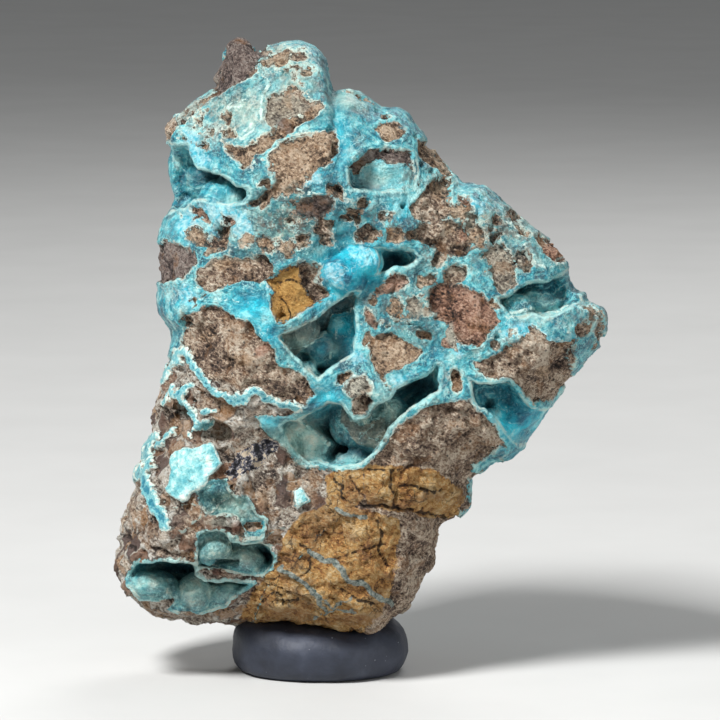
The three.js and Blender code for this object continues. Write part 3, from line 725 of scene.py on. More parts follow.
# %% [markdown]
# ## Distances to the drawing
# Each mineral's edge on the real stone is sharp. A drawn outline gives a distance at every vertex,
# above 0 inside, and the largest distance to any part of a kind is the distance to the whole kind. A
# colour stored on each vertex would be simpler, but as coarse as the triangles.

# %% Distance helpers


def away_from_side(column, row, start, end):
    """Squared distance in pixels to a straight side."""
    (ax, ay), (bx, by) = start, end
    side_x, side_y = bx - ax, by - ay
    along = ((column - ax) * side_x + (row - ay) * side_y) / (side_x ** 2 + side_y ** 2)
    along = np.clip(along, 0, 1)
    return (column - ax - along * side_x) ** 2 + (row - ay - along * side_y) ** 2


def inside_line(column, row, half_width, line):
    """Signed distance inside a band drawn round a line, in millimetres: above 0 inside."""
    away = np.min([away_from_side(column, row, *side) for side in zip(line, line[1:])], axis=0)
    return (half_width - np.sqrt(away)) * PIXEL_MM


def inside_outline(column, row, outline):
    """Signed distance inside a closed outline, in millimetres."""
    nearest = np.full(len(column), np.inf)
    odd = np.zeros(len(column), bool)
    for start, end in zip(outline, outline[1:] + outline[:1]):
        nearest = np.minimum(nearest, away_from_side(column, row, start, end))
        crosses = (start[1] > row) != (end[1] > row)
        rise = (end[1] - start[1]) or 1e-9
        odd ^= crosses & (column < start[0] + (row - start[1]) * (end[0] - start[0]) / rise)
    return np.where(odd, 1, -1) * np.sqrt(nearest) * PIXEL_MM


def inside_oval(column, row, x, y, half_width, half_height, tilt):
    """Signed distance inside a tilted oval, in millimetres."""
    turn = math.radians(tilt)
    across = (column - x) * math.cos(turn) - (row - y) * math.sin(turn)
    along = (column - x) * math.sin(turn) + (row - y) * math.cos(turn)
    share = np.hypot(across / half_width, along / half_height)
    return (1 - share) * min(half_width, half_height) * PIXEL_MM


# %% [markdown]
# ## Reading the skin
# The vertices' places, normals and pixels are read once into arrays. The front's drawing holds where
# the skin faces the camera or lies inside a cave's mouth, and fades to the hidden sides' own pattern
# just behind the outline. A natural edge is ragged, so the drawing is read through a wobble that is
# stronger where the real stone is a jumble of crumbs and crust.

# %% Measure the skin
JUMBLE = [  # column, row, half width, half height
    (290, 225, 60, 40), (215, 235, 50, 24), (440, 240, 50, 34), (400, 310, 44, 34), (490, 240, 50, 46),
    (205, 125, 30, 30), (300, 90, 30, 24), (390, 220, 50, 24), (270, 60, 20, 20), (440, 165, 20, 26),
    (300, 170, 40, 30), (400, 180, 24, 16), (520, 340, 30, 14), (590, 320, 20, 24),
]
FAR_OUTSIDE = -9.0
EDGE_WOBBLE = ((6.0, 4.0, 2.0), (2.6, 3.2, 1.4), (1.2, 1.6, 1.0))  # lump size mm, most and least pixels


def soft_ovals(spots, column, row):
    """1 in the middle of soft ovals, 0 far from them."""
    strength = np.zeros(len(column))
    for x, y, half_width, half_height in spots:
        away = np.hypot((column - x) / half_width, (row - y) / half_height)
        strength = np.maximum(strength, np.exp(-away ** 2))
    return strength


place_mm, normal = vertex_arrays(stone.data)
column, row = seen(place_mm)
jumble = soft_ovals(JUMBLE, column, row)
drawn_column, drawn_row = column.copy(), row.copy()
for number, (size, most, least) in enumerate(EDGE_WOBBLE):
    push = least + (most - least) * jumble
    drawn_column += push * lumps(place_mm, size, 31.0 + number)
    drawn_row += push * lumps(place_mm, size, 41.0 + number)

facing = normal @ TO_CAMERA
cave = np.max([inside_outline(column, row, spec["mouth"]) for spec in CAVES.values()], axis=0)
behind_face = place_mm[:, 1] - front_at(column, row)
before_back = ease(11, 6, place_mm[:, 1] - rim_back(column, row))
in_cave = ease(0.3, 1.2, behind_face) * ease(-0.6, 0.1, cave) * before_back * (facing > -0.4)
shown = np.maximum(ease(-0.45, -0.1, facing) * before_back, in_cave)
print("shown share:", shown.mean().round(2), " in caves:", in_cave.mean().round(2))

# %% [markdown]
# ## Rock against crust
# On the real stone the crust wraps each fragment and runs over it where it lines a cave. So the
# fragments are joined first, and the veins and the caves' lips are then taken away from them. Small
# crumbs float between the fragments where the stone is a jumble. Cells with their own luck make them,
# because drawing hundreds by hand would add nothing.

# %% Fragments
parts = []
for kind, outline in FRAGMENTS.values():
    spot = (column, row) if kind == "ochre" else (drawn_column, drawn_row)
    parts.append((kind, inside_outline(*spot, outline)))
for kind, *oval in OVALS:
    parts.append((kind, inside_oval(drawn_column, drawn_row, *oval)))

rock = np.full(len(column), FAR_OUTSIDE)
kind_depth = {kind: rock for kind in KINDS}
for kind, inside in parts:
    rock = np.maximum(rock, inside)
    if kind in KINDS:
        kind_depth[kind] = np.maximum(kind_depth[kind], inside)
print("drawn rock share:", (rock > 0).mean().round(2))

# %% Veins and cave lips
CAVE_LIP = 0.7
THIN_LIPS = {"green_bowl": 0.2, "foot_bowl": 0.25, "foot_eye": 0.2, "pale_bowl": 0.15, "foot_cave": 0.4}
BROWN_CAVES = ("brown_hollow", "brown_dish", "pale_pit")
FOOT_ROW = 520  # below this row and left of this column the small fragments reach into the cave lips
FOOT_COLUMN = 260

inset = np.full(len(column), FAR_OUTSIDE)
rim_band = inset
ragged = 0.4 * lumps(place_mm, 1.6, 95.0)
for name, (half_width, line) in CRUST_INSETS.items():
    band = inside_line(drawn_column, drawn_row, half_width, line) + ragged
    if name in PLAIN_INSETS:
        rim_band = np.maximum(rim_band, band)
    else:
        inset = np.maximum(inset, band)

crust_cave = np.full(len(column), FAR_OUTSIDE)
rim_reach = crust_cave
for name, spec in CAVES.items():
    if name not in BROWN_CAVES:
        inside = inside_outline(column, row, spec["mouth"])
        crust_cave = np.maximum(crust_cave, inside)
        rim_reach = np.maximum(rim_reach, inside + THIN_LIPS.get(name, CAVE_LIP))
scoop_rock = inside_outline(drawn_column, drawn_row, FRAGMENTS["scoop_roof_shade"][1])
crust_cave = np.where(scoop_rock > -0.5, FAR_OUTSIDE, crust_cave)
rim_reach = np.where(scoop_rock > -0.5, FAR_OUTSIDE, rim_reach)
low_rocks = [spec[1:] for spec in OVALS if spec[2] > FOOT_ROW and spec[1] < FOOT_COLUMN]
low_rock = np.max([inside_oval(drawn_column, drawn_row, *oval) for oval in low_rocks], axis=0)
rim_reach = np.where(low_rock > -0.1, FAR_OUTSIDE, rim_reach)
rock = np.minimum(rock, -np.maximum(np.maximum(inset, rim_band), rim_reach))
print("vein share:", (inset > 0).mean().round(3), " cave share:", (crust_cave > 0).mean().round(2))

# %% Crumbs between the fragments
CRUMB_MM = 4.4
CRUMB_GAP = 0.42
KNOB = (351, 268, 34, 27, 30)  # the bright knob has no crumbs
crumb_near, crumb_next, crumb_owner = cells(pushed(place_mm, 1.1, 2.2, 91.0), CRUMB_MM, 6.0)
unlucky = ease(0, 0.15, LUCK[crumb_owner] - 0.62 * jumble)
crumb = (crumb_next - crumb_near) * CRUMB_MM / 2 - CRUMB_GAP - 3 * unlucky
crumb = np.minimum(crumb, -rim_reach - 0.2)
crumb = np.where(inside_oval(column, row, *KNOB) > 0, FAR_OUTSIDE, crumb)
rock = np.maximum(rock, crumb)
tan_crumb = np.where(LUCK[crumb_owner] < 0.3, crumb, FAR_OUTSIDE)
kind_depth["tan"] = np.maximum(kind_depth["tan"], tan_crumb)
print("crumb share:", (crumb > 0).mean().round(2))

# %% Plates, veins, cracks and patches


def in_outlines(outlines):
    """How far each vertex lies inside any of several outlines, read through the wobble."""
    return np.max([inside_outline(drawn_column, drawn_row, outline) for outline in outlines], axis=0)


def in_lines(lines):
    return np.max([inside_line(drawn_column, drawn_row, *line) for line in lines], axis=0)


plate = in_outlines(PLATES.values())
vein = in_lines(PALE_VEINS)
metal = in_outlines([METAL_PATCH])
ice = in_lines(ICE_LINES)
crack = in_lines(CRACKS)
frost = in_outlines(FROST_PATCHES)
dun = in_outlines(DUN_WALLS.values())
limonite = np.maximum(in_outlines(LIMONITE.values()), kind_depth["ochre"])
rock = np.minimum(rock, -plate)
print("plate share:", (plate > 0).mean().round(3), " crack share:", (crack > 0).mean().round(3))

# %% [markdown]
# ## The hidden sides
# The photograph shows only the front. The real stone is a breccia all through, so the sides and the back
# get fragments of about the same size from large cells, smaller ones between them, and more limonite low
# down. A mirrored front would be simpler, but it would show as one.

# %% The hidden sides
SIDE_MM = 13.0
SMALL_SIDE_MM = 6.5
SIDE_KINDS = (("tan", 0.2, 0.4), ("red", 0.4, 0.52), ("dusk", 0.52, 0.6), ("grey", 0.6, 0.68))
nearest, second, owner = cells(pushed(place_mm, 4, 8, 51.0, 3), SIDE_MM, 2.0)
edge = (second - nearest) * SIDE_MM / 2
luck = LUCK[owner]
low_down = ease(45, 15, place_mm[:, 2])
side_rock = np.where(luck < 0.72 + 0.2 * low_down, edge - 1.3 + 0.8 * low_down, -2.0)
side_limonite = np.where((luck < 0.2) | (low_down > 0.7) & (luck < 0.45), edge - 0.8, -3.0)

nearest, second, owner = cells(place_mm + lumps(place_mm, 4, 53.0)[:, None], SMALL_SIDE_MM, 3.0)
small_rock = np.where(LUCK[owner] < 0.34, (second - nearest) * SMALL_SIDE_MM / 2 - 0.9, -2.0)
side_rock = np.maximum(side_rock, small_rock) + 0.6 * lumps(place_mm, 4, 52.0)


def front_and_sides(front, side):
    """The drawn pattern where the photograph shows the skin, the made-up one elsewhere."""
    return shown * front + (1 - shown) * side


rock = front_and_sides(rock, side_rock)
limonite = front_and_sides(limonite, side_limonite)
for kind, low, high in SIDE_KINDS:
    side = np.where((luck >= low) & (luck < high), edge, -3.0)
    kind_depth[kind] = front_and_sides(kind_depth[kind], side)
kind_depth["chalk"] = front_and_sides(kind_depth["chalk"], lumps(place_mm, 25, 54.0))
plate, vein, metal, inset, lip, ice, crack, dun, frost = (
    front_and_sides(depth, -3)
    for depth in (plate, vein, metal, inset, crust_cave, ice, crack, dun, frost))
print("rock share:", (rock > 0).mean().round(2), " limonite share:", (limonite > 0).mean().round(2))

# %% [markdown]
# ## Growing the surface
# Broken rock is pitted and grainy and lies a little below the crust that framed it. The crust is
# smooth, swells in bubbles and stands up as a rounded rim beside each fragment. Moving each vertex
# along its normal by the sum of these gives real relief, which catches light from every side.

# %% Relief of the rock


def bubbles(points, size, seed):
    """Round caps, 1 on top and 0 in the creases between them."""
    nearest, _, _ = cells(points, size, seed)
    return np.sqrt(np.clip(1 - (nearest / 0.85) ** 2, 0, 1))


is_rock = ease(-0.12, 0.2, rock)
is_limonite = ease(-0.2, 0.3, limonite) * is_rock
smooth_rock = np.clip(ease(0, 0.6, kind_depth["grey"]) + 0.5 * ease(0, 0.6, kind_depth["dusk"]), 0, 1)
coarse_rock = ease(0, 0.6, kind_depth["red"])

swirl = pushed(place_mm, 0.9, 2.5, 61.0)
pit_seed = cells(swirl, 2.4, 5.0)
pits = np.clip(0.42 - pit_seed[0], 0, 1) * (LUCK[pit_seed[2]] < 0.3)
grain = rough(place_mm, 2.4, 3, 64.0)
chips = 2.2 * facets(swirl, 7.5, 1.0) + 1.1 * facets(swirl, 3.4, 2.0) + 0.5 * facets(swirl, 1.6, 3.0)
craggy = 0.8 * chips + 0.3 * grain - 2.8 * pits
rock_height = -0.35 + craggy * (0.85 + 0.45 * coarse_rock - 0.6 * smooth_rock)
print("rock relief:", rock_height.min().round(2), "to", rock_height.max().round(2), "mm")

# %% Relief of the limonite
ledges = swirl * (0.8, 0.8, 1.5)
crack_cell = cells(ledges + lumps(place_mm, 3, 66.0)[:, None], 7.0, 4.0)
cracks = ease(0.07, 0.0, crack_cell[1] - crack_cell[0])
limonite_height = 1.1 * facets(ledges, 8.0, 4.0) + 0.7 * facets(ledges, 3.4, 5.0)
limonite_height += 0.4 * facets(ledges, 1.5, 6.0) + 0.12 * grain - 0.6 * cracks - 0.15
ochre_face = ease(0, 0.4, kind_depth["ochre"])
limonite_height = limonite_height * (1 - 0.8 * ochre_face) - 0.2 * ochre_face
print("limonite relief:", limonite_height.min().round(2), "to", limonite_height.max().round(2), "mm")

# %% Relief of the crust
border = np.maximum(rock, lip)
rim = np.exp(-((border + 0.4) / 0.35) ** 2)
sugar = 0.16 * lumps(place_mm, 1.4, 63.0) + 0.14 * bubbles(place_mm, 1.7, 7.0)
crust_height = 0.25 * rim + 0.4 * bubbles(swirl, 3.4, 7.0) + sugar + 0.35 * lumps(place_mm, 3.6, 65.0)
cave_height = 0.9 * bubbles(swirl, 5.5, 8.0) + 0.5 * bubbles(swirl, 2.6, 9.0) + 0.6 * sugar - 0.9
crust_height = crust_height * (1 - in_cave) + cave_height * in_cave
print("crust relief:", crust_height.min().round(2), "to", crust_height.max().round(2), "mm")

# %% Raise and sink the skin
height = is_rock * (rock_height * (1 - is_limonite) + limonite_height * is_limonite)
height += (1 - is_rock) * crust_height
height += 0.4 * ease(-0.1, 0.35, plate) + 0.3 * ease(-0.1, 0.25, vein) + 0.3 * ease(-0.25, 0.2, ice)
height -= 0.6 * ease(-0.2, 0.25, crack)
height += 0.5 * ease(-0.2, 0.2, metal) * rough(place_mm, 1.6, 2, 68.0)
texture_height = height.copy()

ochre_recess = inside_outline(column, row, FRAGMENTS["ochre_block"][1])
shade_recess = inside_outline(column, row, FRAGMENTS["ochre_shade"][1])
height -= 1.3 * ease(-0.1, 0.7, np.maximum(ochre_recess, shade_recess)) * shown
for x, y, radius, depth in PITS:
    height -= depth * shown * ease(1, 0.4, np.hypot(column - x, row - y) / radius)
for half_width, depth, line in PIT_LINES:
    inside = inside_line(column, row, half_width, line)
    height -= depth * shown * ease(0, half_width * PIXEL_MM, inside)

grown = place_mm + normal * height[:, None]
stone.data.vertices.foreach_set("co", (grown * MM).ravel())
stone.data.update()
print("relief from", height.min().round(2), "to", height.max().round(2), "mm")

# %% [markdown]
# ## Colour fields
# The crust isn't one blue: the photograph shows a saturated blue round the middle windows, a grey
# green towards the foot, and frosty pale crust at the top. Soft ovals say where each tint is strong, and
# two sets of them paint shade: dark teal deep in the caves and in the crevices between fragments. A
# texture could be painted instead, but it would need an unwrapped skin and an image file. So the ovals
# are stored on the vertices with the distances, and the material mixes its colours by them.

# %% Tints
WASHES = {  # column, row, half width, half height, strength
    "bright": [(352, 266, 32, 26, 2), (340, 286, 16, 16, 1.4), (254, 305, 20, 14, 1.2),
        (270, 334, 14, 16, 0.9), (343, 332, 16, 24, 1.3), (322, 348, 12, 8, 0.9), (270, 421, 20, 7, 0.8),
        (322, 398, 26, 14, 1), (337, 140, 16, 30, 0.7), (382, 176, 20, 12, 0.9), (318, 300, 34, 16, 0.5),
        (190, 228, 26, 14, 0.5), (228, 196, 20, 14, 0.6), (515, 420, 28, 22, 1.3),
        (400, 205, 24, 12, 0.6), (205, 160, 16, 10, 0.6), (440, 355, 12, 14, 0.5),
        (500, 325, 22, 10, 0.5), (330, 195, 20, 20, 0.5), (180, 300, 22, 14, 0.4),
        (342, 225, 18, 16, 0.6)],
    "green": [(290, 225, 46, 28, 1.1), (242, 110, 34, 24, 0.9), (285, 75, 26, 24, 0.5),
        (300, 345, 18, 14, 0.9), (270, 250, 30, 12, 0.7), (540, 240, 30, 30, 0.5), (230, 505, 44, 34, 1),
        (238, 552, 46, 26, 1), (265, 205, 20, 26, 0.6), (365, 300, 10, 26, 0.4), (190, 590, 66, 26, 0.8),
        (372, 420, 34, 26, 1), (288, 440, 40, 22, 0.9), (420, 300, 34, 26, 0.6), (505, 230, 40, 24, 0.7),
        (350, 105, 24, 12, 0.8), (300, 150, 20, 12, 0.3), (500, 262, 18, 22, 0.6),
        (415, 330, 26, 12, 0.7), (325, 120, 20, 10, 0.5), (318, 345, 30, 22, 0.4),
        (275, 100, 16, 12, 0.4)],
    "pale": [(342, 262, 8, 9, 0.9), (334, 276, 7, 8, 0.8), (366, 257, 10, 6, 0.9), (350, 283, 10, 5, 0.6),
        (200, 222, 34, 16, 0.5), (245, 112, 48, 26, 0.6), (285, 62, 30, 18, 0.9), (222, 130, 26, 14, 0.6),
        (210, 212, 26, 10, 0.6), (240, 228, 20, 10, 0.5), (345, 262, 18, 12, 0.35),
        (360, 384, 12, 12, 0.9), (312, 335, 16, 12, 0.5), (175, 290, 16, 16, 0.5), (450, 380, 8, 20, 0.8),
        (500, 330, 26, 10, 0.4), (548, 318, 26, 8, 0.6), (330, 345, 8, 6, 0.7), (350, 150, 14, 14, 0.4),
        (495, 210, 22, 16, 0.4), (525, 240, 26, 12, 0.4), (590, 312, 14, 8, 0.5), (197, 594, 16, 12, 0.3),
        (385, 412, 12, 14, 0.4), (320, 350, 26, 26, 0.2), (495, 430, 12, 16, 0.6),
        (430, 130, 14, 14, 0.4)],
    # painted shade: darkens the crust deep inside the caves
    "painted_cave_shade": [(397, 258, 24, 12, 1), (322, 370, 14, 8, 1), (205, 176, 22, 7, 0.8), (335, 425, 14, 20, 1),
        (355, 452, 26, 9, 1), (420, 384, 20, 12, 1), (503, 302, 10, 7, 1), (183, 568, 30, 7, 1),
        (268, 556, 7, 9, 1), (491, 403, 6, 5, 0.8), (222, 561, 18, 4, 0.7), (296, 326, 18, 5, 0.5),
        (520, 297, 16, 6, 0.5)],
    # painted shade: dark teal in the crevices and hollows between fragments
    "deep": [(412, 318, 30, 8, 0.8), (384, 298, 14, 14, 0.7), (326, 238, 26, 9, 0.7),
        (300, 253, 24, 6, 0.7), (345, 303, 8, 10, 0.6), (250, 252, 22, 6, 0.7), (262, 200, 8, 12, 0.5),
        (440, 340, 10, 12, 0.5), (478, 262, 8, 12, 0.6), (410, 340, 16, 5, 0.6), (395, 372, 10, 4, 0.4),
        (336, 204, 14, 8, 0.6), (222, 176, 16, 5, 0.5), (330, 190, 8, 12, 0.5), (560, 345, 10, 14, 0.5),
        (345, 215, 12, 10, 0.5)],
    "milky": [(302, 440, 22, 20, 1.3), (244, 116, 22, 12, 0.4), (298, 84, 20, 14, 0.5),
        (382, 177, 22, 11, 0.8), (232, 199, 12, 6, 0.5), (150, 584, 18, 8, 0.5), (195, 588, 11, 12, 0.7),
        (226, 590, 18, 7, 0.4), (212, 543, 12, 12, 0.5), (245, 556, 16, 9, 0.5), (238, 508, 12, 14, 0.6),
        (350, 460, 14, 6, 0.6), (300, 343, 14, 7, 0.5), (308, 371, 6, 6, 0.6), (335, 348, 8, 10, 0.4),
        (390, 412, 7, 9, 0.7), (545, 302, 14, 7, 0.4), (530, 316, 18, 6, 0.5), (290, 62, 20, 12, 0.4),
        (345, 100, 16, 8, 0.5), (395, 385, 12, 8, 0.5)],
    "cream": [(250, 140, 44, 36, 1), (300, 108, 36, 26, 1), (196, 118, 26, 20, 0.9),
        (310, 130, 30, 16, 1), (245, 100, 30, 22, 0.7), (555, 250, 30, 24, 0.8), (520, 235, 22, 18, 0.7),
        (360, 388, 22, 16, 0.9), (235, 520, 34, 14, 0.7), (250, 398, 60, 10, 1), (150, 480, 24, 40, 0.9),
        (220, 572, 30, 8, 0.8), (300, 60, 30, 24, 0.5), (470, 215, 14, 14, 0.9), (455, 385, 10, 22, 0.7),
        (195, 400, 26, 26, 0.6), (430, 130, 20, 20, 0.4), (590, 320, 20, 20, 0.5)],
}


def wash(name):
    """The strength of one tint at every vertex. Above 1 it fills its oval evenly."""
    strength = np.zeros(len(column))
    for x, y, half_width, half_height, most in WASHES[name]:
        away = np.hypot((drawn_column - x) / half_width, (drawn_row - y) / half_height)
        strength = np.maximum(strength, most * np.exp(-away ** 2))
    return strength * shown


print("tint ovals:", sum(len(spots) for spots in WASHES.values()))

# %% Store the fields


def store(name, values):
    """Writes one number for each vertex, for the material to read."""
    attribute = stone.data.attributes.new(name, "FLOAT", "POINT")
    attribute.data.foreach_set("value", values.astype(np.float32))


def tint(name, side):
    """A wash on the front, and noise on the hidden sides."""
    return wash(name) + (1 - shown) * side


side_tint = lumps(place_mm, 22, 71.0)
fields = {
    "rock": rock, "limonite": limonite, "plate": plate, "vein": vein, "metal": metal, "lip": lip,
    "inset": inset, "ice": ice, "crack": crack, "dun": dun, "frost": frost,
    "jumble": np.maximum(jumble * shown, 0.3 * (1 - shown)),
    "cave": in_cave * np.clip(behind_face, 0, 16),
    # the sculpted height, which the colours also use for painted light on tops and painted shade in dips
    "relief": np.clip(texture_height, -1.5, 1),
    # painted shade deep in the caves, strongest from 6 mm behind the face
    "painted_cave_shade": wash("painted_cave_shade") * ease(2.0, 6.0, behind_face),
    "milky": wash("milky"),
    "bright": tint("bright", ease(0.15, 0.5, side_tint)),
    "green": tint("green", ease(0.1, 0.5, -side_tint)),
    "pale": tint("pale", 0.5 * ease(0.1, 0.5, lumps(place_mm, 14, 72.0))),
    "cream": tint("cream", ease(0.0, 0.4, lumps(place_mm, 18, 73.0))),
    # painted shade in crevices and hollows on the front; darker patches at random on the hidden sides
    "deep": tint("deep", 0.7 * ease(0.2, 0.6, lumps(place_mm, 12, 74.0))),
}
for kind in KINDS:
    fields[kind] = ease(-0.2, 0.4, kind_depth[kind])
for name, values in fields.items():
    store(name, values)
for face in stone.data.polygons:
    face.use_smooth = True
print("fields stored:", ", ".join(fields))

# %% [markdown]
# ## Materials as small graphs
# Every finish is a graph of Blender's own noise and cell textures on Object coordinates, so it needs no
# image and sits still on the stone. Short helpers make a node and link what is handed in, so that a
# graph reads like a sum.

# %% Colours


def srgb(red, green, blue):
    """A colour given in 0 to 255, as the linear values that a shader takes."""
    def linear(value):
        share = value / 255
        return share / 12.92 if share <= 0.04045 else ((share + 0.055) / 1.055) ** 2.4
    return (linear(red), linear(green), linear(blue), 1.0)


print("cream:", [round(value, 3) for value in srgb(218, 220, 202)])

# %% Graph helpers
FINEST_MM = 0.08  # finer noise than this is smaller than a pixel, and only costs time


class Graph:
    """A material's nodes, made and linked in one call each."""

    def __init__(self, name):
        self.material = bpy.data.materials.new(name)
        self.material.use_nodes = True
        self.nodes = self.material.node_tree.nodes
        self.links = self.material.node_tree.links
        self.nodes.clear()
        texture_place = self.nodes.new("ShaderNodeTexCoord").outputs["Object"]
        self.mm = self.make("ShaderNodeVectorMath", {0: texture_place, "Scale": 1 / MM}, operation="SCALE")

    def make(self, kind, inputs=(), output=0, **settings):
        """One node with its settings and inputs. Returns one of its outputs."""
        node = self.nodes.new(kind)
        for name, value in settings.items():
            setattr(node, name, value)
        for name, value in dict(inputs).items():
            if isinstance(value, bpy.types.NodeSocket):
                self.links.new(value, node.inputs[name])
            else:
                node.inputs[name].default_value = value
        return node.outputs[output]

    def maths(self, operation, a, b=0.0, c=0.0):
        return self.make("ShaderNodeMath", {0: a, 1: b, 2: c}, operation=operation)

    def times(self, a, b):
        return self.maths("MULTIPLY", a, b)

    def plus(self, a, b):
        return self.maths("ADD", a, b)

    def minus(self, a, b):
        return self.maths("SUBTRACT", a, b)

    def larger(self, a, b):
        return self.maths("MAXIMUM", a, b)

    def scaled(self, a, gain, offset):
        """a times a gain, plus an offset that may itself be a pattern."""
        return self.maths("MULTIPLY_ADD", a, gain, offset)

    def gap(self, a, b):
        """How far two values lie apart."""
        return self.maths("ABSOLUTE", self.minus(a, b))

    def step(self, value, low, high):
        """0 below low, 1 above high, smooth between."""
        inputs = {"Value": value, "From Min": low, "From Max": high}
        return self.make("ShaderNodeMapRange", inputs, interpolation_type="SMOOTHSTEP")

    def mix(self, share, a, b):
        """Colour a where share is 0, b where it is 1."""
        inputs = {0: share, 6: a, 7: b}
        return self.make("ShaderNodeMix", inputs, output=2, data_type="RGBA")

    def paint(self, colour, mask, strength, tint):
        """Lays a tint over a colour where the mask is 1, at a strength up to 1."""
        return self.mix(self.times(mask, strength), colour, tint)

    def field(self, name):
        return self.make("ShaderNodeAttribute", output=2, attribute_name=name)

    def along(self, angle, stretch):
        """Object coordinates turned in the stone's face and stretched, for streaks."""
        inputs = {"Vector": self.mm, "Rotation": (0, math.radians(angle), 0), "Scale": stretch}
        return self.make("ShaderNodeMapping", inputs, vector_type="TEXTURE")

    def noise(self, size, detail=3.0, roughness=0.55, gain=1.0, warp=0.0, vector=None):
        """Noise round 0.5 with lumps of a size in millimetres, spread out by its gain."""
        detail = min(detail, math.log2(size / FINEST_MM))
        inputs = {"Vector": vector or self.mm, "Scale": 1 / size, "Detail": detail,
                  "Distortion": warp, "Roughness": roughness}
        value = self.make("ShaderNodeTexNoise", inputs)
        return value if gain == 1.0 else self.scaled(value, gain, 0.5 - 0.5 * gain)

    def grains(self, size, feature="F1", output=0, vector=None):
        inputs = {"Vector": vector or self.mm, "Scale": 1 / size}
        return self.make("ShaderNodeTexVoronoi", inputs, output=output, feature=feature)

    def ramp(self, value, *stops):
        """A colour ramp with stops (place, colour)."""
        node = self.nodes.new("ShaderNodeValToRGB")
        self.links.new(value, node.inputs[0])
        elements = node.color_ramp.elements
        while len(elements) < len(stops):
            elements.new(0.5)
        for element, (position, colour) in zip(elements, stops):
            element.position = position
            element.color = colour
        return node.outputs[0]

    def finish(self, surface):
        output = self.nodes.new("ShaderNodeOutputMaterial")
        self.links.new(surface, output.inputs["Surface"])
        return self.material


print("finest noise:", FINEST_MM, "mm")

# %% [markdown]
# ## The stone's finish
# One material covers the stone, because its minerals run into each other. The stored distances,
# roughened by fine noise, say where each one is. The palette is listed next. Two helpers come first:
# one bends a pattern, so that its cells have no straight sides, and one is the grain of broken rock.

# %% Palette
CREAM = srgb(218, 220, 202)
FROST = srgb(170, 214, 210)
ICE = srgb(122, 194, 196)
AQUA = srgb(58, 164, 176)
TEAL = srgb(16, 120, 140)
DEEP = srgb(4, 70, 86)
BRIGHT = srgb(0, 152, 176)
# a dark teal painted into the depths of the caves as shade
PAINTED_CAVE_SHADE = srgb(16, 62, 74)
print("brightest blue:", [round(value, 3) for value in BRIGHT])

# %% Bent patterns and rock grain
BEND_SCALE = 0.4


def warped_place(graph, amount):
    """Object coordinates in millimetres, pushed about by noise."""
    bend = {"Vector": graph.mm, "Scale": BEND_SCALE, "Detail": 3.0}
    push = graph.make("ShaderNodeTexNoise", bend, output=1)
    push = graph.make("ShaderNodeVectorMath", {0: push, "Scale": amount * 2}, operation="SCALE")
    return graph.make("ShaderNodeVectorMath", {0: graph.mm, 1: push}, operation="ADD")


def grains_of(graph):
    """Rock grain, about 0 to 1: the same field lifts the bump, and in the colour it paints shade into the
    dips and light onto the high grains.
    """
    lumpy = graph.noise(0.55, 4, 0.75, gain=4.4)
    streak = graph.noise(0.55, 3, 0.7, gain=4.6, vector=graph.along(30, (2.3, 1.0, 0.75)))
    crease = graph.step(graph.gap(streak, 0.5), 0.2, 0.0)
    chip = graph.make("ShaderNodeSeparateColor", {0: graph.grains(0.7, output=1)})
    grain = graph.scaled(lumpy, 0.5, 0.06)
    for part, share in ((streak, 0.4), (chip, 0.42), (crease, -0.3), (graph.grains(0.75), -0.45)):
        grain = graph.scaled(part, share, grain)
    return grain


# %% [markdown]
# ## Crust
# The real crust is banded like agate beside each fragment, from a cream line through pale turquoise to
# deep blue. The bands read the stored distance to the rock and the caves' lips, so they turn every
# corner with it, which a wave texture would not do. Its cloud is paler on the sculpted bumps and darker in
# the creases, a painted light and shade. Tints go over them, then milky bulges, grey cave walls, frost and
# painted shade in hollows and crevices, and last the thin lines: contours, cream edges, and the veins in
# the rock with their white toothed borders and teal cores. A painted shade also darkens the crust deeper
# in the caves.

# %% Banded crust
GROWTH_LINES = (  # distance from the edge and half width in millimetres, strength, colour
    (0.2, 0.22, 0.75, ICE), (0.65, 0.3, 0.6, DEEP), (1.15, 0.2, 0.75, ICE), (1.6, 0.3, 0.5, TEAL),
    (2.1, 0.35, 0.6, DEEP), (2.6, 0.18, 0.6, FROST), (3.4, 0.4, 0.5, DEEP), (4.1, 0.2, 0.5, ICE))
GAP_SIZES = (2.0, 3.2, 4.6)  # millimetres: where the lines break off


def banded_crust(graph, nearest_edge):
    """Clouded blue with growth lines that follow the nearest edge."""
    away = graph.minus(graph.scaled(graph.noise(1.5, 4, warp=0.6), 1.8, -0.9), nearest_edge)
    cloud = graph.noise(3.4, 9, 0.68, gain=3.2)
    # painted light and shade: the crust is paler on the sculpted bumps and darker in the creases
    cloud = graph.scaled(graph.field("relief"), 0.25, cloud)
    cloud = graph.scaled(graph.noise(10.0, 3, 0.6, gain=3.0), 0.4, graph.minus(cloud, 0.2))
    colour = graph.ramp(cloud, (0.15, DEEP), (0.42, TEAL), (0.66, AQUA), (0.86, ICE), (1.0, FROST))
    gaps = [graph.step(graph.noise(size), 0.4, 0.52) for size in GAP_SIZES]
    for number, (middle, half_width, strength, tint) in enumerate(GROWTH_LINES):
        line = graph.step(graph.gap(away, middle), half_width, half_width * 0.3)
        line = graph.times(line, gaps[number % len(gaps)])
        colour = graph.paint(colour, line, strength, tint)
    return colour


# %% Tinted crust


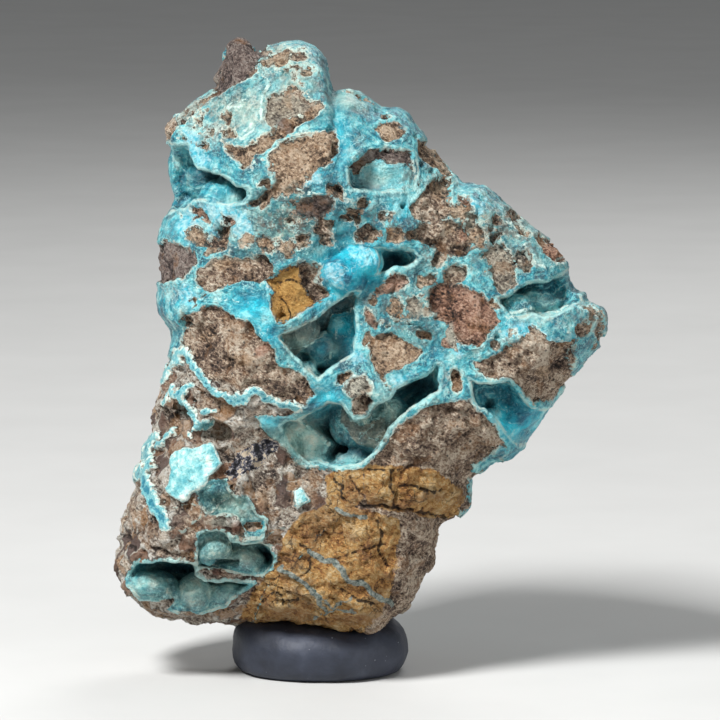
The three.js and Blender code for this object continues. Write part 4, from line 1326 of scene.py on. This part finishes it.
def tinted_crust(graph, colour):
    """Sage green, pale, sugary, muddy and bright blue parts, where the washes put them."""
    sage = graph.ramp(
        graph.noise(1.9, 7, 0.7, gain=3.4), (0.1, srgb(20, 48, 50)), (0.5, srgb(66, 104, 100)),
        (0.78, srgb(122, 150, 138)), (0.96, srgb(186, 194, 176)))
    colour = graph.paint(colour, graph.field("green"), 0.92, sage)
    frosty = graph.times(graph.field("pale"), graph.step(graph.noise(1.3, 7, 0.75), 0.44, 0.58))
    colour = graph.paint(colour, frosty, 0.85, CREAM)
    sugar = graph.step(graph.noise(0.5, 3, 0.7, warp=0.5), 0.54, 0.66)
    colour = graph.paint(colour, sugar, 0.4, FROST)
    muddy = graph.times(graph.step(graph.noise(1.6, 6, 0.7), 0.46, 0.58), graph.field("jumble"))
    colour = graph.paint(colour, muddy, 0.7, srgb(96, 80, 68))
    bright = graph.ramp(
        graph.noise(5.0, 5, 0.5, gain=3.0), (0.1, srgb(0, 92, 118)), (0.4, BRIGHT),
        (0.68, srgb(30, 190, 210)), (0.9, srgb(150, 228, 234)))
    bright = graph.paint(bright, graph.step(graph.noise(0.6, 3, 0.7), 0.5, 0.7), 0.3, ICE)
    return graph.paint(colour, graph.field("bright"), 0.9, bright)


# %% Patched crust


def patched_crust(graph, colour):
    """Grey cave walls, milky bulges, frost and painted shade in hollows and crevices."""
    wall = graph.ramp(
        graph.noise(2.0, 6, 0.7, gain=3.0), (0.1, srgb(44, 44, 38)), (0.5, srgb(96, 96, 84)),
        (0.85, srgb(150, 144, 126)))
    is_wall = graph.scaled(graph.noise(1.2, 4), 1.6, graph.field("dun"))
    colour = graph.paint(colour, graph.step(is_wall, 0.75, 1.1), 0.8, wall)
    milk = graph.ramp(
        graph.noise(3.0, 6, 0.6, gain=3.0), (0.1, srgb(120, 172, 168)), (0.5, srgb(170, 206, 196)),
        (0.85, srgb(208, 216, 200)))
    colour = graph.mix(graph.field("milky"), colour, milk)
    frost = graph.mix(graph.noise(0.9, 5, gain=4.0), srgb(40, 176, 200), srgb(190, 228, 230))
    is_frost = graph.scaled(graph.noise(1.6, 6, 0.72), 3.4, graph.field("frost"))
    colour = graph.paint(colour, graph.step(is_frost, 1.6, 2.1), 0.62, frost)
    # painted shade in hollows and crevices, where the deep wash puts it
    painted_hollow_shade = graph.ramp(
        graph.noise(1.8, 7, 0.7, gain=3.4), (0.15, srgb(6, 48, 58)), (0.5, srgb(22, 96, 108)),
        (0.8, srgb(70, 146, 150)))
    return graph.mix(graph.field("deep"), colour, painted_hollow_shade)


# %% Lines on the crust


def lined_crust(graph, colour, nearest_edge):
    """Contours, cream edges, frosted cave mouths, painted shade deeper in the caves, and the veins in the
    rock.
    """
    contour = graph.step(graph.gap(graph.noise(4.2, 4, 0.62), 0.5), 0.014, 0.004)
    contour = graph.times(contour, graph.step(graph.noise(2.6, 3), 0.46, 0.56))
    colour = graph.paint(colour, contour, 0.55, FROST)
    creamy = graph.times(graph.step(graph.noise(3.6, 3), 0.46, 0.56), 0.6)
    creamy = graph.larger(graph.field("cream"), creamy)
    line = graph.times(graph.step(nearest_edge, -0.34, -0.16), creamy)
    colour = graph.paint(colour, line, 0.9, CREAM)
    mouth = graph.step(graph.gap(graph.field("lip"), -0.25), 0.3, 0.08)
    mouth = graph.times(mouth, graph.step(graph.noise(3.0, 3), 0.42, 0.54))
    colour = graph.paint(colour, mouth, 0.7, FROST)
    # painted shade: the crust turns a darker teal the deeper it lies in a cave
    in_cave = graph.step(graph.field("cave"), 3.0, 12.0)
    colour = graph.paint(colour, in_cave, 0.35, srgb(20, 104, 124))
    toothed = graph.scaled(graph.noise(0.7, 4), 1.8, graph.field("inset"))
    core = graph.ramp(
        graph.scaled(toothed, 0.7, -0.4), (0.2, srgb(230, 234, 220)), (0.4, srgb(178, 218, 214)),
        (0.52, srgb(84, 166, 178)), (0.66, srgb(140, 204, 206)), (0.85, srgb(24, 122, 146)))
    is_inset = graph.step(graph.field("inset"), -0.25, -0.05)
    return graph.paint(colour, is_inset, 0.85, core)


def crust_colour(graph, rock_edge):
    """The whole blue crust."""
    lip = graph.times(graph.maths("ABSOLUTE", graph.field("lip")), -1.0)
    nearest_edge = graph.larger(rock_edge, lip)
    colour = banded_crust(graph, nearest_edge)
    colour = patched_crust(graph, tinted_crust(graph, colour))
    return lined_crust(graph, colour, nearest_edge)


# %% [markdown]
# ## Brown rock and limonite
# Broken rock is painted pale on its high grains and dark in its dips, a painted light and shade, so one
# grain field colours it and later lifts its bump too. Its chalky parts are a breccia of small stained
# crumbs between light and dark veinlets. Limonite is mustard with brown stains and black cracks. Each is
# a ramp over grain, broad noise and the sculpted relief, so that its high parts also get painted light and
# its low parts painted shade, because a single noise looks like cloud and not like stone.

# %% Chalky breccia
CRUMB_STAINS = (  # share of the crumbs left plain, colour of the next ones
    (0.58, srgb(190, 136, 80)), (0.8, srgb(122, 84, 72)), (0.9, srgb(86, 80, 84)))


def chalky_breccia(graph, mixed):
    """Pale rock of stained crumbs, with veinlets between them."""
    # painted light and shade: the ramp runs dark in the dips and pale on the high grains
    chalk = graph.ramp(
        mixed, (0.05, srgb(38, 31, 29)), (0.26, srgb(118, 102, 90)), (0.46, srgb(184, 168, 150)),
        (0.66, srgb(222, 212, 196)), (0.9, srgb(250, 246, 236)))
    crumbs = warped_place(graph, 1.4)
    tint = graph.make("ShaderNodeSeparateColor", {0: graph.grains(3.4, output=1, vector=crumbs)})
    for low, stain in CRUMB_STAINS:
        chalk = graph.paint(chalk, graph.step(tint, low, low + 0.01), 0.6, stain)
    veinlet = graph.grains(3.4, "DISTANCE_TO_EDGE", vector=crumbs)
    some = graph.step(graph.noise(4), 0.46, 0.58)
    light_vein = graph.times(graph.step(veinlet, 0.05, 0.01), some)
    chalk = graph.paint(chalk, light_vein, 0.7, srgb(236, 230, 214))
    dark_vein = graph.times(graph.step(veinlet, 0.1, 0.02), graph.minus(1.0, some))
    return graph.paint(chalk, dark_vein, 0.55, srgb(52, 42, 38))


# %% Brown rock
ROCK_TINTS = (  # kind of fragment, colour of its high grains, strength
    ("tan", srgb(226, 184, 138), 0.35), ("red", srgb(196, 122, 92), 0.5),
    ("dusk", srgb(104, 94, 102), 0.65), ("grey", srgb(196, 198, 182), 0.5),
    ("pearl", srgb(236, 236, 218), 0.75))
# painted shade that each kind of fragment takes in its dips
PAINTED_DIP_SHADE = srgb(20, 15, 14)


def rock_colour(graph, grain, rock_edge):
    """Broken brown rock: painted light on its high grains, painted shade in its dips, tinted by its kind.
    """
    broad = graph.noise(5.0, 6, 0.62, gain=4.4)
    height = graph.scaled(graph.field("relief"), 0.6, broad)
    # painted light and shade: grain and sculpted relief make the ramp below dark in dips and pale on tops
    mixed = graph.plus(graph.scaled(grain, 0.68, graph.times(height, 0.37)), 0.23)
    base = graph.ramp(
        mixed, (0.05, srgb(30, 23, 21)), (0.3, srgb(92, 73, 62)), (0.52, srgb(150, 125, 106)),
        (0.74, srgb(202, 176, 150)), (0.96, srgb(240, 224, 202)))
    chalky = graph.step(graph.noise(6.0, 4, warp=0.4), 0.3, 0.56)
    chalky = graph.times(graph.field("chalk"), chalky)
    colour = graph.mix(chalky, base, chalky_breccia(graph, mixed))
    for name, tint, strength in ROCK_TINTS:
        shade = graph.mix(graph.step(mixed, 0.0, 0.95), PAINTED_DIP_SHADE, tint)
        colour = graph.paint(colour, graph.field(name), strength, shade)
    rusty = graph.step(graph.noise(3.4, 6), 0.54, 0.64)
    colour = graph.paint(colour, rusty, 0.35, srgb(170, 118, 66))
    # painted shade: small dark spots that stand for shadow in pores
    painted_pore_shade = graph.step(graph.grains(1.5), 0.24, 0.12)
    colour = graph.paint(colour, painted_pore_shade, 0.75, srgb(38, 29, 26))
    haze = graph.times(graph.step(rock_edge, 1.2, 0.0), graph.step(graph.noise(1.4, 5), 0.44, 0.58))
    haze = graph.times(haze, graph.field("jumble"))
    return graph.paint(colour, haze, 0.6, srgb(84, 132, 132))


# %% Limonite


def limonite_colour(graph, grain):
    """Mustard limonite with cracks and brown stains."""
    broad = graph.noise(3.5, 8, 0.66, gain=2.6)
    height = graph.scaled(graph.field("relief"), 0.5, broad)
    # painted light and shade: grain and sculpted relief make the ramps below dark in dips and pale on tops
    mixed = graph.plus(graph.scaled(grain, 0.5, graph.times(height, 0.5)), 0.17)
    base = graph.ramp(
        mixed, (0.0, srgb(52, 33, 20)), (0.22, srgb(146, 98, 54)), (0.42, srgb(208, 150, 84)),
        (0.66, srgb(222, 176, 108)), (0.92, srgb(238, 206, 154)))
    stain = graph.step(graph.noise(9.0, 5, warp=0.6), 0.48, 0.6)
    colour = graph.paint(base, stain, 0.45, srgb(142, 102, 74))
    mustard = graph.ramp(
        mixed, (0.0, srgb(120, 80, 34)), (0.35, srgb(214, 160, 84)), (0.9, srgb(240, 196, 118)))
    colour = graph.mix(graph.field("ochre"), colour, mustard)
    split = graph.grains(4.0, "DISTANCE_TO_EDGE", vector=warped_place(graph, 1.6))
    split = graph.times(graph.step(split, 0.05, 0.0), graph.step(graph.noise(6), 0.45, 0.6))
    return graph.paint(colour, split, 0.75, srgb(36, 24, 17))


# %% [markdown]
# ## One material for the stone
# The parts are laid over each other as they hide each other: rock and limonite with their cracks and a
# fleck of dark metal, the crust round them, then plates, chalk veins and thin raised lines, and last a
# painted shade deep in the caves. The crust is waxy, with a little light going into it. The rock is
# rough, and its grain is also its bump.

# %% Brown parts and plates


def brown_parts(graph, grain, edge, rock_edge):
    """Rock, limonite, cracks, the metal fleck and a painted shadow line beside the crust."""
    is_limonite = graph.step(edge("limonite", 1.2), -0.1, 0.25)
    is_metal = graph.step(edge("metal", 2.0), -0.1, 0.15)
    is_crack = graph.step(edge("crack", 1.0), -0.12, 0.08)
    rocky = rock_colour(graph, grain, rock_edge)
    brown = graph.mix(is_limonite, rocky, limonite_colour(graph, grain))
    brown = graph.paint(brown, is_crack, 0.85, srgb(34, 24, 18))
    graphite = graph.ramp(
        graph.noise(1.6, 6, 0.7, gain=3.8), (0.1, srgb(24, 23, 26)), (0.4, srgb(74, 74, 84)),
        (0.58, srgb(150, 150, 160)), (0.72, srgb(240, 226, 204)))
    brown = graph.mix(is_metal, brown, graphite)
    # painted shadow: a dark line along the rock's edge, under the crust's raised rim
    painted_rim_shadow = graph.step(graph.gap(rock_edge, 0.1), 0.2, 0.04)
    painted_rim_shadow = graph.times(painted_rim_shadow, graph.step(graph.noise(1.8, 3), 0.42, 0.54))
    return graph.paint(brown, painted_rim_shadow, 0.75, srgb(34, 27, 24)), is_metal


def plates_and_veins(graph, colour, edge):
    """Turquoise plates with a pale outline, chalk veins and thin pale lines."""
    plate_edge = edge("plate", 0.7)
    sheet = graph.ramp(
        graph.noise(2.2, 7, 0.7, gain=3.0), (0.1, srgb(84, 166, 176)), (0.45, srgb(134, 200, 202)),
        (0.75, srgb(190, 226, 222)), (0.95, srgb(222, 236, 226)))
    outline = graph.step(graph.gap(plate_edge, 0.15), 0.2, 0.05)
    sheet = graph.paint(sheet, outline, 0.8, srgb(228, 238, 228))
    colour = graph.mix(graph.step(plate_edge, -0.06, 0.08), colour, sheet)
    chalk_vein = graph.mix(graph.noise(0.8, 4, gain=3.0), srgb(88, 110, 106), srgb(206, 212, 200))
    colour = graph.mix(graph.step(edge("vein", 0.5), -0.1, 0.06), colour, chalk_vein)
    is_ice = graph.step(edge("ice", 0.8), -0.12, 0.06)
    return graph.paint(colour, is_ice, 0.8, srgb(206, 228, 218))


# %% Stone material
BUMP_M = 0.0009
GLOW_DEPTH_M = 0.0008
GLOW_COLOURS = (0.6, 1.0, 1.1)


def stone_material():
    graph = Graph("smithsonite_crust_and_rock")
    ragged = graph.minus(graph.noise(1.1, 5, 0.65), 0.5)
    ragged = graph.times(ragged, graph.scaled(graph.field("jumble"), 1.4, 1.4))

    def edge(name, raggedness):
        """A stored distance with a ragged edge."""
        return graph.scaled(ragged, raggedness, graph.field(name))

    grain = grains_of(graph)
    rock_edge = edge("rock", 1.0)
    is_rock = graph.step(rock_edge, -0.06, 0.08)
    brown, is_metal = brown_parts(graph, grain, edge, rock_edge)
    colour = graph.mix(is_rock, crust_colour(graph, rock_edge), brown)
    colour = plates_and_veins(graph, colour, edge)
    # painted shade: the crust deep in the caves is darkened
    colour = graph.mix(graph.field("painted_cave_shade"), colour, PAINTED_CAVE_SHADE)

    wax = graph.times(graph.noise(1.0, 6, 0.7, gain=1.6), graph.minus(1.0, is_rock))
    relief = graph.scaled(wax, 0.8, graph.times(grain, is_rock))
    bump = graph.make("ShaderNodeBump", {"Height": relief, "Strength": 1.0, "Distance": BUMP_M})

    def by_part(on_crust, on_rock):
        return graph.make("ShaderNodeMix", {0: is_rock, 2: on_crust, 3: on_rock})

    surface = graph.make("ShaderNodeBsdfPrincipled", {
        "Base Color": colour, "Roughness": by_part(0.38, 0.9), "Normal": bump,
        "Metallic": graph.times(is_metal, 0.35), "Coat Weight": by_part(0.06, 0.0),
        "Coat Roughness": 0.2, "Subsurface Weight": by_part(0.12, 0.0),
        "Subsurface Radius": GLOW_COLOURS, "Subsurface Scale": GLOW_DEPTH_M})
    return graph.finish(surface)


stone.data.materials.clear()
stone.data.materials.append(stone_material())
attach(stone, "root")
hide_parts("smithsonite")
print("stone finished:", len(stone.data.vertices), "vertices")

# %% [markdown]
# ## The putty foot
# Display putty is pressed flat on the shelf and squeezed up round the stone. It is a profile spun once
# round and pushed out of round by broad lumps. Its top is then pushed down out of the stone, so that it
# hugs the underside as putty does.

# %% Putty shape
from mathutils import Vector
from mathutils.bvhtree import BVHTree

FOOT_WIDTH = 35.4
FOOT_DEPTH = 33.0
FOOT_MIDDLE = (-7.7, 2.1)
FOOT_PROFILE = [  # share of the half width, height in millimetres
    (0, 0), (0.3, 0), (0.6, 0), (0.8, 0), (0.92, 0.7), (0.985, 2.6), (1, 5.4), (0.985, 7.6),
    (0.93, 9.5), (0.8, 10.8), (0.66, 11.3), (0.5, 11.7), (0.34, 11.9), (0.17, 12), (0, 12),
]
FOOT_TURNS = 72
SAME_SPOT_M = 1e-6

putty = bmesh.new()
profile = [
    putty.verts.new((share * FOOT_WIDTH / 2 * MM, 0, height * MM)) for share, height in FOOT_PROFILE]
edges = [putty.edges.new(pair) for pair in zip(profile, profile[1:])]
bmesh.ops.spin(putty, geom=profile + edges, axis=(0, 0, 1), cent=(0, 0, 0), angle=math.tau,
               steps=FOOT_TURNS, use_merge=True)
bmesh.ops.remove_doubles(putty, verts=putty.verts, dist=SAME_SPOT_M)
bmesh.ops.subdivide_edges(putty, edges=putty.edges, cuts=1, use_grid_fill=True, smooth=0.6)
bmesh.ops.recalc_face_normals(putty, faces=putty.faces)
print("spun blob:", len(putty.verts), "vertices")

# %% Press the putty
for vertex in putty.verts:
    x, y, z = vertex.co / MM
    spot = np.array([[x, y, z]])
    swell = 1 + 0.07 * lumps(spot, 11, 81.0)[0] + 0.012 * lumps(spot, 4, 82.0)[0]
    tall = 1 + 0.12 * math.tanh((y - x) / (FOOT_WIDTH / 2))
    x, y = FOOT_MIDDLE[0] + x * swell, FOOT_MIDDLE[1] + y * swell * FOOT_DEPTH / FOOT_WIDTH
    vertex.co = Vector((x, y, max(z, 0) * tall)) * MM

skin_tree = BVHTree.FromObject(stone, bpy.context.evaluated_depsgraph_get())
TOUCH_MM = 0.12
SOLE_MM = 2  # lower than this the putty stays flat on the shelf
for vertex in putty.verts:
    spot, away, _, _ = skin_tree.find_nearest(vertex.co)
    depth = (vertex.co - spot).dot(away)
    if depth < TOUCH_MM * MM and vertex.co.z > SOLE_MM * MM:
        vertex.co = spot + away * TOUCH_MM * MM

foot_mesh = bpy.data.meshes.new("putty_blob")
putty.to_mesh(foot_mesh)
putty.free()
foot = bpy.data.objects.new("putty_blob", foot_mesh)
bpy.context.scene.collection.objects.link(foot)
for face in foot.data.polygons:
    face.use_smooth = True
print("putty:", len(foot.data.vertices), "vertices")

# %% [markdown]
# ## The putty's finish
# Display putty is dull, dark and a little cloudy, with pale specks of dust pressed into it. Noise gives
# the cloud and small round cells give the specks, so no image is needed.

# %% Putty material
PUTTY_BUMP_M = 0.0006


def putty_material():
    graph = Graph("display_putty")
    cloud = graph.noise(7.0, 4, warp=0.3)
    colour = graph.ramp(
        cloud, (0.3, srgb(36, 40, 50)), (0.55, srgb(52, 57, 70)), (0.75, srgb(72, 77, 90)))
    fleck = graph.step(graph.grains(1.7), 0.075, 0.03)
    fleck = graph.times(fleck, graph.step(graph.noise(9), 0.52, 0.6))
    colour = graph.mix(fleck, colour, srgb(196, 204, 212))
    roughness = graph.make("ShaderNodeMapRange", {"Value": cloud, "To Min": 0.42, "To Max": 0.66})
    relief = graph.plus(graph.noise(2.4, 5), graph.times(graph.noise(0.5, 3), 0.25))
    bump = graph.make(
        "ShaderNodeBump", {"Height": relief, "Strength": 0.35, "Distance": PUTTY_BUMP_M})
    surface = graph.make("ShaderNodeBsdfPrincipled", {
        "Base Color": colour, "Roughness": roughness, "Normal": bump, "Specular IOR Level": 0.4})
    return graph.finish(surface)


foot.data.materials.append(putty_material())
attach(foot, "root")
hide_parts("putty_foot")
print("putty finished:", len(foot.data.materials), "material")

# %% [markdown]
# ## Studio
# The specimen stands on a plain pale floor under soft light: a large panel high on the left, a weaker
# one on the right, and a little from above and behind to part the edges from the ground. Light that has
# bounced more than a few times adds nothing that shows on a rough stone, so the bounces are few.

# %% Floor
FLOOR_M = 6.0
floor_mesh = bpy.data.meshes.new("floor")
floor_plan = bmesh.new()
bmesh.ops.create_grid(floor_plan, x_segments=1, y_segments=1, size=FLOOR_M / 2)
floor_plan.to_mesh(floor_mesh)
floor_plan.free()
floor = bpy.data.objects.new("floor", floor_mesh)
bpy.context.scene.collection.objects.link(floor)


def floor_material():
    graph = Graph("pale_floor")
    colour = graph.mix(graph.noise(40, 3), srgb(196, 196, 194), srgb(206, 206, 204))
    surface = graph.make("ShaderNodeBsdfPrincipled", {"Base Color": colour, "Roughness": 0.9})
    return graph.finish(surface)


floor.data.materials.append(floor_material())
print("floor:", FLOOR_M, "m wide")

# %% Lights
LIGHTS = (  # name, place in metres, width in metres, power in watts
    ("key", (-0.4, -0.5, 0.8), 0.24, 15.5),
    ("fill", (0.7, -0.6, 0.3), 0.6, 2.2),
    ("back", (0.25, 0.7, 0.7), 0.4, 3.0),
)
WORLD_STRENGTH = 0.22


def soft_light(name, spot, size, power):
    """A square panel that faces the middle of the specimen."""
    data = bpy.data.lights.new(name, "AREA")
    data.shape = "SQUARE"
    data.size = size
    data.energy = power
    panel = bpy.data.objects.new(name, data)
    panel.location = spot
    aim = Vector(LOOKED_AT * MM) - Vector(spot)
    panel.rotation_euler = aim.to_track_quat("-Z", "Y").to_euler()
    panel.visible_camera = False
    bpy.context.scene.collection.objects.link(panel)


for light in LIGHTS:
    soft_light(*light)
world = bpy.data.worlds.new("studio")
world.use_nodes = True
background = world.node_tree.nodes["Background"]
background.inputs["Color"].default_value = srgb(236, 238, 240)
background.inputs["Strength"].default_value = WORLD_STRENGTH
bpy.context.scene.world = world
print("lights:", ", ".join(name for name, *_ in LIGHTS))

# %% Light paths
MOST_BOUNCES = 5
DIFFUSE_BOUNCES = 3
GLOSSY_BOUNCES = 2
scene = bpy.context.scene
scene.view_settings.view_transform = "Standard"
scene.cycles.max_bounces = MOST_BOUNCES
scene.cycles.diffuse_bounces = DIFFUSE_BOUNCES
scene.cycles.glossy_bounces = GLOSSY_BOUNCES
print("bounces:", MOST_BOUNCES)
